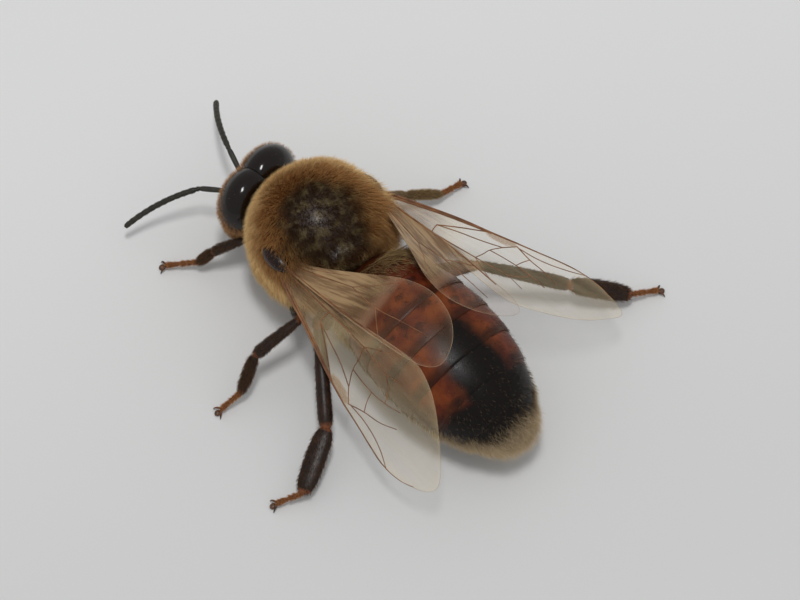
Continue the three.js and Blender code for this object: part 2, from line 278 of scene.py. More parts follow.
@dataclass(frozen=True)
class Cuticle(Finish):
    """Hard, finely pitted insect shell, mottled between two tones."""

    name: str
    deep: Colour
    light: Colour
    roughness: float = 0.35
    mottle: float = 0.5
    pit: float = 0.05
    pit_depth: float = 0.004
    coat: float = 0.25
    shine: float = 0.5

    def build(self, shader: Shader) -> None:
        """Mottled colour, uneven gloss and fine pits."""
        blotch = shader.noise(self.mottle).rise(0.35, 0.7)
        pits = shader.cells(self.pit).rise(0.0, 0.5)
        shader.dress(Base_Color=shader.mix(self.deep, self.light, blotch))
        shader.dress(Roughness=self.roughness + 0.12 * shader.noise(0.15))
        shader.dress(Coat_Weight=self.coat, Coat_Roughness=0.15, Specular_IOR_Level=self.shine)
        shader.bump(pits, self.pit_depth)


@dataclass(frozen=True)
class LegShell(Finish):
    """Dark glossy leg shell that pales to rust at the joint ends."""

    name: str
    dark: Colour
    rust: Colour
    start: float = 0.12
    end: float = 0.88
    roughness: float = 0.3

    def build(self, shader: Shader) -> None:
        """Colour follows the length of the limb."""
        along = shader.mark("along")
        blotch = 0.4 * shader.noise(0.3)
        ends = along.rise(self.start, 0.0).most(along.rise(self.end, 1.0))
        shader.dress(Base_Color=shader.mix(self.dark, self.rust, ends * 0.85 + blotch - 0.18))
        shader.dress(Roughness=self.roughness + 0.2 * shader.noise(0.08))
        shader.dress(Specular_IOR_Level=0.3)
        shader.bump(shader.noise(0.05), 0.006)


@dataclass(frozen=True)
class FacetEye(Finish):
    """Blackish compound eye with a wet gloss over its facets."""

    name: str = "facet_eye"
    core: Colour = paint(6, 4, 4)
    edge: Colour = paint(34, 19, 13)
    roughness: float = 0.13

    def build(self, shader: Shader) -> None:
        """Near black, a little browner at the rim and between the facets."""
        facet = shader.mark("facet")
        rim = shader.mark("rim")
        tone = shader.mix(self.edge, self.core, facet * 0.5 + 0.5)
        cloud = shader.noise(0.6).rise(0.4, 0.75) * 0.35
        shader.dress(Base_Color=shader.mix(tone, self.edge, (rim ** 3.0) * 0.7 + cloud * 0.3))
        shader.dress(Roughness=self.roughness + 0.1 * cloud, Specular_IOR_Level=0.36)


@dataclass(frozen=True)
class AbdomenShell(Finish):
    """Glossy rings: russet in front and on the sides, black behind and down the middle of the back."""

    name: str = "abdomen_shell"
    russet: Colour = paint(126, 62, 27)
    red: Colour = paint(94, 38, 21)
    black: Colour = paint(17, 11, 8)
    belly: Colour = paint(92, 62, 40)
    roughness: float = 0.22

    def markings(self, shader: Shader) -> Value:
        """Where the shell is black, from the marks that each ring carries.

        Args:
            shader: The material to build in.

        Returns:
            0 on russet and 1 on black.
        """
        share = shader.mark("share") + 0.07 * (shader.noise(0.9) - 0.5)
        flank = shader.mark("flank") + 0.09 * (shader.noise(0.8) - 0.5)
        band = shader.mark("ring").rise(0.6, 0.9) * share.rise(0.1, 0.36) * (0.3 + shader.noise(1.4))
        tail = share.rise(0.7, 0.79).most(share.rise(0.16, 0.06) * 0.7)
        wedge = (flank - 0.13 - (share - 0.5) * 0.34).rise(0.07, -0.07) * share.rise(0.38, 0.52)
        low = flank.rise(0.33, 0.46) * share.rise(0.25, 0.6)
        mottle = shader.noise(0.6).rise(0.5, 0.64) * share.rise(0.58, 0.44) * 0.6
        return tail.most(mottle).most(wedge).most(band * 0.9).most(low * 0.8)

    def build(self, shader: Shader) -> None:
        """Marked shell with a fine leathery grain."""
        flank = shader.mark("flank")
        warm = shader.mix(self.red, self.russet, shader.noise(1.1).rise(0.38, 0.66))
        upper = shader.mix(warm, self.black, self.markings(shader))
        shader.dress(Base_Color=shader.mix(upper, self.belly, flank.rise(0.66, 0.8) * 0.75))
        shader.dress(Roughness=self.roughness + 0.16 * shader.noise(0.12))
        shader.dress(Specular_IOR_Level=0.18)
        shader.bump(shader.cells(0.045).rise(0.0, 0.6), 0.003)


@dataclass(frozen=True)
class Hair(Finish):
    """Fine hair, deep at the root and pale at the tip."""

    name: str
    root: Colour
    tip: Colour
    shine: float = 0.3
    roughness: float = 0.6

    def tone(self, shader: Shader) -> Value:
        """Colour that runs along the tuft and differs from tuft to tuft."""
        along = shader.mark("tip").rise(0.0, 0.9) * 0.8
        return shader.mix(self.root, self.tip, along + shader.mark("tone") * 0.45 - 0.12)

    def build(self, shader: Shader) -> None:
        """Soft hair with a faint sheen."""
        shader.dress(Base_Color=self.tone(shader))
        shader.dress(Roughness=self.roughness + 0.2 * shader.mark("tone"))
        shader.dress(Specular_IOR_Level=self.shine)


@dataclass(frozen=True)
class Wear:
    """How the thorax's colour changes with wear, and with the painted shade behind the worn middle, the same
    on skin and coat.
    """

    ring: Colour = paint(150, 92, 38)
    brown: Colour = paint(66, 45, 29)
    drab: Colour = paint(122, 104, 70)

    def over(self, shader: Shader, plush: object) -> Value:
        """Plush where nothing is worn, then a warm ring, and a dark worn middle whose dark reaches back as
        painted shade.
        """
        worn = shader.mark("worn") + 0.5 * (shader.noise(0.6) - 0.5)
        middle = shader.mix(self.brown, self.drab, shader.noise(0.42).rise(0.46, 0.66))
        warm = shader.mix(plush, self.ring, worn.rise(0.02, 0.4) * 0.75)
        return shader.mix(warm, middle, worn.rise(0.4, 0.9))


@dataclass(frozen=True)
class Plush(Hair):
    """The thorax's golden coat, which is worn over the middle of the back."""

    shine: float = 0.05

    def tone(self, shader: Shader) -> Value:
        """Golden hair that darkens with the wear."""
        return Wear().over(shader, super().tone(shader))


@dataclass(frozen=True)
class Fringe(Hair):
    """The tail's hair, as dark as the shell in front and pale at the tip of the body."""

    shine: float = 0.16
    dark: Colour = paint(26, 18, 13)

    def tone(self, shader: Shader) -> Value:
        """Pale hair that darkens where the mark says so."""
        return shader.mix(super().tone(shader), self.dark, shader.mark("worn"))


@dataclass(frozen=True)
class WornShell(Finish):
    """The thorax's shell under the plush."""

    name: str = "thorax_shell"
    under: Colour = paint(84, 54, 26)
    deep: Colour = paint(18, 12, 9)
    roughness: float = 0.26

    def build(self, shader: Shader) -> None:
        """The coat's colours, deeper, with a soft shine where the coat is worn off."""
        shader.dress(Base_Color=shader.mix(Wear().over(shader, self.under), self.deep, 0.45))
        shader.dress(Roughness=self.roughness + 0.2 * shader.noise(0.2))
        shader.dress(Specular_IOR_Level=0.3)
        shader.bump(shader.cells(0.06).rise(0.0, 0.5), 0.006)


@dataclass(frozen=True)
class Membrane(Finish):
    """Clear wing skin with a milky cast, folded and clouded near its root."""

    name: str = "wing_membrane"
    milk: Colour = paint(244, 220, 172)
    blush: Colour = paint(212, 166, 132)
    amber: Colour = paint(180, 138, 80)
    tan: Colour = paint(178, 146, 104)
    umber: Colour = paint(122, 90, 58)
    root: Colour = paint(78, 42, 28)
    veil: float = 0.084
    fold: float = 0.35
    crease: float = 0.12

    def build(self, shader: Shader) -> None:
        """Mostly see-through, with folds that catch the light."""
        names = ("span", "rim", "stigma", "base", "haze")
        span, rim, stigma, base, haze = (shader.mark(name) for name in names)
        folds = shader.streaks(self.fold)
        fine = shader.streaks(self.crease)
        stained = (span.rise(0.4, 0.0) * 0.4).most(stigma)
        folded = shader.mix(self.tan, self.umber, (0.5 * folds + 0.5 * fine).rise(0.42, 0.6))
        folded = shader.mix(folded, self.root, span.rise(0.16, 0.02) * 0.7)
        clear = shader.mix(shader.mix(self.blush, self.milk, haze), self.amber, stained)
        shader.dress(Base_Color=shader.mix(clear, folded, base.rise(0.05, 0.5)))
        thin = (self.veil + 0.12 * (folds - 0.5)) * (0.3 + 0.7 * haze) + 0.08 * rim ** 8.0
        thick = (0.84 - 0.2 * haze + 0.5 * (fine - 0.5)) * base
        shader.dress(Alpha=thin + 0.3 * stigma + thick)
        shader.dress(Roughness=0.12 + 0.2 * shader.streaks(0.6))
        shader.dress(Specular_IOR_Level=0.4, Coat_Weight=0.3, Coat_Roughness=0.08)
        shader.bump(folds + 0.5 * fine, 0.06)


@dataclass(frozen=True)
class Plain(Finish):
    """The pale floor, with painted light that makes it paler towards the far side."""

    name: str = "floor_paper"
    near: Colour = paint(222, 222, 221)
    # The far colour is paler: painted light that falls more brightly on the far side.
    far: Colour = paint(237, 237, 236)
    ahead: Point = (-0.48, -0.88, 0.0)
    reach: float = 16.0

    def build(self, shader: Shader) -> None:
        """Matt paper, painted a little paler towards the far side: painted light, brighter there."""
        inputs = {0: shader.node("ShaderNodeTexCoord", {}, "Object"), 1: self.ahead}
        way = shader.node("ShaderNodeVectorMath", inputs, "Value", operation="DOT_PRODUCT")
        reach = self.reach * MM
        shader.dress(Base_Color=shader.mix(self.near, self.far, way.rise(-reach, reach)))
        shader.dress(Roughness=0.8)


class Wardrobe(Enum):
    """Every finish on the bee."""

    COAT_SKIN = WornShell()
    FACE_SKIN = Cuticle("face_shell", paint(92, 54, 36), paint(150, 100, 72), 0.5, 0.4, 0.04, 0.004)
    HORN = Cuticle("mouth_horn", paint(52, 28, 16), paint(116, 62, 30), 0.3, 0.3)
    FEELER = Cuticle("feeler_horn", paint(22, 20, 12), paint(46, 42, 26), 0.5, 0.25, 0.03, 0.004)
    TEGULA = Cuticle("tegula_shell", paint(20, 11, 8), paint(58, 28, 15), 0.2, 0.5, 0.05, 0.002, 0.0, 0.3)
    OCELLUS = Cuticle("ocellus_lens", paint(26, 14, 10), paint(60, 30, 18), 0.06, 0.2, 0.05, 0.0005)
    VEIN = Cuticle("wing_vein", paint(104, 62, 34), paint(152, 102, 62), 0.4, 0.8, 0.04, 0.002, 0.0, 0.4)
    RIM = Cuticle("wing_rim", paint(150, 128, 98), paint(188, 168, 136), 0.4, 0.8, 0.04, 0.002, 0.0, 0.4)
    CLAW = Cuticle("claw_horn", paint(50, 28, 16), paint(112, 62, 32), 0.25, 0.2, 0.03, 0.001, 0.0, 0.4)
    PAD = Cuticle("sole_pad", paint(60, 38, 24), paint(120, 78, 46), 0.5, 0.1, 0.02, 0.004)
    PALE_LEG = LegShell("pale_leg_shell", paint(88, 70, 46), paint(160, 116, 66), 0.05, 0.94, 0.45)
    LEG = LegShell("leg_shell", paint(31, 20, 14), paint(140, 82, 52), 0.05, 0.94, 0.26)
    FOOT = LegShell("foot_shell", paint(108, 62, 34), paint(166, 108, 62), 0.2, 0.8, 0.4)
    EYE = FacetEye()
    ABDOMEN = AbdomenShell()
    MEMBRANE = Membrane()
    PLUSH = Plush("golden_plush", paint(150, 100, 46), paint(246, 214, 156))
    TAIL = Fringe("tail_hair", paint(128, 104, 74), paint(222, 200, 164))
    PALE = Hair("pale_hair", paint(140, 88, 48), paint(208, 168, 122))
    EYE_DOWN = Hair("eye_down", paint(104, 68, 40), paint(204, 158, 110))
    FEELER_DOWN = Hair("feeler_down", paint(30, 26, 16), paint(84, 76, 52))
    BROWN = Hair("brown_hair", paint(36, 24, 16), paint(104, 72, 42))
    STRAW = Hair("straw_hair", paint(92, 70, 42), paint(172, 142, 94))
    RUST = Hair("rust_hair", paint(112, 62, 30), paint(188, 130, 74))
    FLOOR = Plain()

    def wear(self, piece: Piece) -> None:
        """Puts this finish on a piece."""
        self.value.wear(piece)


# ---------------------------------------------------------------- workbench


@dataclass(frozen=True)
class Ring:
    """One ring of a turned shape: how far along, how broad, how thick and how far off its axis."""

    along: float
    breadth: float
    thickness: Optional[float] = None
    rise: float = 0.0

    @property
    def depth(self) -> float:
        """Thickness, which is the breadth where none is given."""
        return self.breadth if self.thickness is None else self.thickness


class Bench:
    """Blender's operators as one works with them by hand, on one piece at a time."""

    origin = Vector((0.0, 0.0, 0.0))

    @staticmethod
    def take(piece: Piece) -> Piece:
        """Selects one piece and nothing else."""
        bpy.ops.object.select_all(action="DESELECT")
        piece.select_set(True)
        bpy.context.view_layer.objects.active = piece
        return piece

    @staticmethod
    def fresh(name: str) -> Piece:
        """Names the piece that was just added."""
        piece = bpy.context.object
        piece.name = name
        piece.data.name = name
        return piece

    @classmethod
    @contextmanager
    def editing(cls, piece: Piece) -> Iterator[None]:
        """Opens a piece in edit mode with all of it selected, and leaves edit mode afterwards."""
        cls.take(piece)
        bpy.ops.object.mode_set(mode="EDIT")
        bpy.ops.mesh.select_mode(type="VERT")
        bpy.ops.mesh.select_all(action="SELECT")
        yield
        bpy.ops.object.mode_set(mode="OBJECT")

    @staticmethod
    def pick(piece: Piece, test: Test) -> None:
        """Selects, in edit mode, the vertices that pass a test, with the faces between them."""
        bpy.ops.mesh.select_all(action="DESELECT")
        mesh = bmesh.from_edit_mesh(piece.data)
        for vertex in mesh.verts:
            vertex.select = test(vertex.co)
        mesh.select_flush(True)
        bmesh.update_edit_mesh(piece.data)

    @classmethod
    def modify(cls, piece: Piece, kind: str, **settings: object) -> Piece:
        """Adds a modifier, sets it and applies it."""
        cls.take(piece)
        bpy.ops.object.modifier_add(type=kind)
        modifier = piece.modifiers[-1]
        for key, setting in settings.items():
            setattr(modifier, key, setting)
        bpy.ops.object.modifier_apply(modifier=modifier.name)
        return piece

    @classmethod
    def smooth(cls, piece: Piece, levels: int) -> Piece:
        """Subdivides a piece smoothly."""
        return cls.modify(piece, "SUBSURF", levels=levels, render_levels=levels)

    @classmethod
    def join(cls, name: str, pieces: Sequence[Piece]) -> Piece:
        """Joins several pieces into one."""
        bpy.ops.object.select_all(action="DESELECT")
        for piece in pieces:
            piece.select_set(True)
        bpy.context.view_layer.objects.active = pieces[0]
        if len(pieces) > 1:
            bpy.ops.object.join()
        return cls.fresh(name)

    @staticmethod
    def points(piece: Piece) -> Rows:
        """All vertices of a piece, one row each."""
        found = np.empty(len(piece.data.vertices) * 3)
        piece.data.vertices.foreach_get("co", found)
        return found.reshape(-1, 3)

    @staticmethod
    def reshape(piece: Piece, points: Rows) -> None:
        """Moves all vertices of a piece."""
        piece.data.vertices.foreach_set("co", points.astype(np.float32).ravel())
        piece.data.update()

    @staticmethod
    def mark(piece: Piece, name: str, values: Rows) -> None:
        """Writes one number for each vertex, for the finish to read."""
        attribute = piece.data.attributes.new(name, "FLOAT", "POINT")
        attribute.data.foreach_set("value", np.asarray(values, np.float32))

    @staticmethod
    def place(piece: Piece, matrix: Matrix) -> Piece:
        """Moves a piece's mesh, and leaves its object at the origin."""
        piece.data.transform(matrix)
        piece.data.update()
        return piece

    @classmethod
    def ball(cls, name: str, centre: Point, half: Point, fine: int = 4) -> Piece:
        """A ball of triangles, drawn out to an ellipsoid.

        Args:
            name: The piece's name.
            centre: Its middle.
            half: Half its width, length and height.
            fine: How often the ball is divided.

        Returns:
            The piece.
        """
        bpy.ops.mesh.primitive_ico_sphere_add(subdivisions=fine, radius=1.0, location=(0, 0, 0))
        piece = cls.fresh(name)
        with cls.editing(piece):
            bpy.ops.transform.resize(value=half)
            bpy.ops.transform.translate(value=centre)
        return piece

    @classmethod
    def turned(cls, name: str, rings: Sequence[Ring], length: float, sides: int = 16) -> Piece:
        """Draws a disc up from ring to ring along +Z; breadth lies on Y and thickness on X.

        Args:
            name: The piece's name.
            rings: The rings, from the start (0) to the end (1).
            length: The length from 0 to 1.
            sides: How many sides each ring has.

        Returns:
            The closed piece, with its share of the length as the mark "along".
        """
        first = rings[0]
        bpy.ops.mesh.primitive_circle_add(vertices=sides, radius=1.0, fill_type="NGON", location=(0, 0, 0))
        piece = cls.fresh(name)
        with cls.editing(piece):
            bpy.ops.transform.resize(value=(first.depth, first.breadth, 1.0))
            bpy.ops.transform.translate(value=(first.rise, 0.0, first.along * length))
            for before, ring in zip(rings, rings[1:]):
                step = (ring.rise - before.rise, 0.0, (ring.along - before.along) * length)
                bpy.ops.mesh.extrude_region_move(TRANSFORM_OT_translate={"value": step})
                growth = (ring.depth / before.depth, ring.breadth / before.breadth, 1.0)
                centre = (ring.rise, 0.0, ring.along * length)
                bpy.ops.transform.resize(value=growth, center_override=centre)
        cls.mark(piece, "along", cls.points(piece)[:, 2] / length)
        return piece

    @classmethod
    def stand(cls, piece: Piece, start: Vector, end: Vector, up: Vector) -> Piece:
        """Turns a shape from +Z onto the way from start to end, its thickness as upright as that allows."""
        axis = (end - start).normalized()
        upright = (up - axis * up.dot(axis)).normalized()
        across = axis.cross(upright)
        turn = Matrix((upright, across, axis)).transposed().to_4x4()
        return cls.place(piece, Matrix.Translation(start) @ turn)

    @classmethod
    def fuse(cls, name: str, pieces: Sequence[Piece], grain: float, rounds: int) -> Piece:
        """Melts several pieces into one smooth skin.

        Args:
            name: The skin's name.
            pieces: What goes into it.
            grain: The size of its facets.
            rounds: How often it is smoothed.

        Returns:
            The skin.
        """
        skin = cls.join(name, pieces)
        cls.modify(skin, "REMESH", mode="VOXEL", voxel_size=grain)
        return cls.modify(skin, "SMOOTH", factor=0.5, iterations=rounds)

    @classmethod
    def to_row(cls, piece: Piece) -> Piece:
        """Takes a mesh from the bee's frame in millimetres over to the row frame in metres."""
        return cls.place(piece, Matrix.Scale(MM, 4) @ Matrix.Translation(cls.origin))

    @classmethod
    def settle(cls, piece: Piece) -> Piece:
        """Sets a finished mesh into the row frame, faces outwards and shaded smooth."""
        with cls.editing(piece):
            bpy.ops.mesh.normals_make_consistent(inside=False)
        bpy.ops.object.shade_smooth_by_angle(angle=SMOOTH_BELOW)
        return cls.to_row(piece)


def hand_over(piece: Piece, finish: Wardrobe, slot: str, nodes: Sequence[str] = ()) -> None:
    """Dresses a settled piece and says what it stands for.

    Args:
        piece: The piece.
        finish: What it wears.
        slot: A material slot's name, which is not used.
        nodes: The CAD nodes that it replaces.
    """
    finish.wear(piece)
    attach(piece, BODY)
    if nodes:
        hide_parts(*nodes)
    LOG.info("%s: %d vertices, for %s", piece.name, len(piece.data.vertices), list(nodes) or "looks")


# ---------------------------------------------------------------- coat


@dataclass
class Roots:
    """Where tufts grow, one row each: place, way out, way they lie, patch on the bake map, size and wear."""

    place: Rows
    normal: Rows
    lie: Rows
    patch: Rows
    scale: Rows
    worn: Rows

    def only(self, mask: Rows) -> "Roots":
        """The roots that a mask keeps."""
        return Roots(*(getattr(self, name)[mask] for name in self.__dataclass_fields__))

    @staticmethod
    def together(groups: Sequence["Roots"]) -> "Roots":
        """Several groups of roots as one."""
        names = Roots.__dataclass_fields__
        return Roots(*(np.concatenate([getattr(group, name) for group in groups]) for name in names))


@dataclass(frozen=True)
class Growth:
    """How tufts grow, in millimetres, and in degrees off the skin at the root and at the tip."""

    length: float
    girth: float
    lift: float
    droop: float
    stray: float = 30.0
    uneven: float = 0.3
    wobble: float = 8.0


def unit(rows: Rows) -> Rows:
    """Each row at length 1."""
    return rows / np.maximum(np.linalg.norm(rows, axis=1, keepdims=True), 1e-9)


def along_skin(normals: Rows, wish: Rows) -> Rows:
    """The wished directions, laid flat on the skin."""
    wish = np.broadcast_to(np.asarray(wish, float), normals.shape)
    return unit(wish - normals * np.sum(normals * wish, axis=1, keepdims=True))


def scatter(skin: Piece, count: int, draw: Draw) -> tuple[Rows, Rows]:
    """Spreads points evenly over a mesh.

    Args:
        skin: The mesh.
        count: How many.
        draw: The random numbers.

    Returns:
        The points, and the way out at each.
    """
    mesh = skin.data
    mesh.calc_loop_triangles()
    corners = np.empty(len(mesh.loop_triangles) * 3, np.int32)
    mesh.loop_triangles.foreach_get("vertices", corners)
    corners = corners.reshape(-1, 3)
    normals = np.empty(len(mesh.vertices) * 3)
    mesh.vertices.foreach_get("normal", normals)
    places, normals = Bench.points(skin), normals.reshape(-1, 3)
    a, b, c = (places[corners[:, i]] for i in range(3))
    reach = np.cumsum(np.linalg.norm(np.cross(b - a, c - a), axis=1))
    chosen = corners[np.searchsorted(reach, draw.random(count) * reach[-1])]
    first, second = np.sqrt(draw.random(count)), draw.random(count)
    weights = np.stack([1 - first, first * (1 - second), first * second], axis=1)[:, :, None]
    return (places[chosen] * weights).sum(axis=1), unit((normals[chosen] * weights).sum(axis=1))


def unwrap_ball(points: Rows, centre: Point, half: Point) -> Rows:
    """Unwraps points on an ellipsoid: round its long way, and from its front (0) to its back (1)."""
    way = unit((points - np.array(centre)) / np.array(half))
    turn = np.arctan2(way[:, 0], way[:, 2]) / (2 * math.pi) + 0.5
    return np.stack([turn, np.arccos(np.clip(-way[:, 1], -1, 1)) / math.pi], axis=1)


class Tuft:
    """One lock of hair, three-sided and pointed, with one ring where it bends."""

    bend_at = 0.46
    bend_girth = 1.3
    _made: Optional["Tuft"] = None

    def __init__(self) -> None:
        """Models the lock."""
        bpy.ops.mesh.primitive_cone_add(vertices=3, radius1=1.0, radius2=0.0, depth=1.0, location=(0, 0, 0))
        lock, height, girth = Bench.fresh("lock"), self.bend_at, self.bend_girth
        with Bench.editing(lock):
            bpy.ops.transform.translate(value=(0.0, 0.0, 0.5))
            bpy.ops.mesh.select_all(action="SELECT")
            bpy.ops.mesh.bisect(plane_co=(0, 0, height), plane_no=(0, 0, 1))
            Bench.pick(lock, lambda co: abs(co.z - height) < 1e-4)
            bpy.ops.transform.resize(value=(girth, girth, 1.0), center_override=(0, 0, height))
            bpy.ops.mesh.select_all(action="SELECT")
            bpy.ops.mesh.normals_make_consistent(inside=False)
            bpy.ops.mesh.quads_convert_to_tris()
        self.points = Bench.points(lock)
        corners = np.empty(len(lock.data.loops), np.int32)
        lock.data.loops.foreach_get("vertex_index", corners)
        self.faces = corners.reshape(-1, 3)
        bpy.data.objects.remove(lock)

    @classmethod
    def lock(cls) -> "Tuft":
        """The lock that every coat shares, modelled on first use."""
        if cls._made is None:
            cls._made = cls()
        return cls._made


@dataclass(frozen=True)
class Coat:
    """A stretch of coat: what grows, how, and what it wears."""

    name: str
    growth: Growth
    finish: Wardrobe
    slot: str = "coat"

    def grow(self, roots: Roots, draw: Draw) -> Piece:
        """Sets a tuft on every root and joins them into one mesh.

        Args:
            roots: Where they grow.
            draw: The random numbers.

        Returns:
            The dressed piece.
        """
        lock = Tuft.lock()
        count, size = len(roots.place), len(lock.points)
        along = np.tile(lock.points[:, 2], (count, 1))[:, :, None]
        centre, side, other = self._spines(roots, along, draw)
        girth = self.growth.girth * (0.75 + 0.5 * draw.random((count, 1, 1)))
        cross = side * lock.points[None, :, :1] + other * lock.points[None, :, 1:2]
        points = (centre + cross * girth).reshape(-1, 3)
        faces = (lock.faces[None] + size * np.arange(count)[:, None, None]).reshape(-1, 3)
        mesh = bpy.data.meshes.new(self.name)
        mesh.from_pydata(points.tolist(), [], faces.tolist())
        piece = bpy.data.objects.new(self.name, mesh)
        bpy.context.scene.collection.objects.link(piece)
        within = np.stack([lock.points[:, 0], 2 * lock.points[:, 2] - 1], axis=1) * PATCH / 2
        patch = np.clip(roots.patch, PATCH, 1 - PATCH)[:, None, :] + within[None]
        layer = mesh.uv_layers.new(name="OFBake")
        layer.data.foreach_set("uv", patch.reshape(-1, 2)[faces.ravel()].astype(np.float32).ravel())
        Bench.mark(piece, "tip", along.ravel())
        Bench.mark(piece, "tone", np.repeat(draw.random(count), size))
        Bench.mark(piece, "worn", np.repeat(roots.worn, size))
        hand_over(Bench.to_row(piece), self.finish, self.slot)
        return piece

    def _spines(self, roots: Roots, along: Rows, draw: Draw) -> tuple:
        """Bends each tuft's middle line from its lift to its droop.

        Args:
            roots: Where they grow.
            along: The share of the length of each of a lock's points, for every tuft.
            draw: The random numbers.

        Returns:
            The middle line at each point, and two ways across it.
        """
        growth, count = self.growth, len(roots.place)
        turn = np.radians(growth.stray) * draw.normal(size=(count, 1))
        aside = np.cross(roots.normal, roots.lie)
        lie = roots.lie * np.cos(turn) + aside * np.sin(turn)
        wobble = growth.wobble * draw.normal(size=(count, 1))

        def way(degrees: float) -> Rows:
            angle = np.radians(np.clip(degrees + wobble, 4, 88))
            return roots.normal * np.sin(angle) + lie * np.cos(angle)

        start, end = way(growth.lift)[:, None, :], way(growth.droop)[:, None, :]
        spread = 1 + growth.uneven * (2 * draw.random(count) - 1)
        length = (growth.length * roots.scale * spread)[:, None, None]
        sunk = (roots.place - roots.normal * growth.girth)[:, None, :]
        centre = sunk + length * (along * start + along ** 2 / 2 * (end - start))
        heading = start + along * (end - start)
        heading = heading / np.linalg.norm(heading, axis=2, keepdims=True)
        side = np.cross(np.broadcast_to(roots.normal[:, None, :], heading.shape), heading)
        side = side / np.maximum(np.linalg.norm(side, axis=2, keepdims=True), 1e-6)
        return centre, side, np.cross(heading, side)


# ---------------------------------------------------------------- head

JAW = (Ring(-0.1, 0.12), Ring(0.0, 0.2), Ring(0.3, 0.17), Ring(0.7, 0.2, 0.13), Ring(1.0, 0.15, 0.08),
       Ring(1.08, 0.06, 0.04))
SHEATH = (Ring(-0.1, 0.1), Ring(0.0, 0.24, 0.2), Ring(0.4, 0.22, 0.17), Ring(0.8, 0.12, 0.1),
          Ring(1.0, 0.06, 0.05))


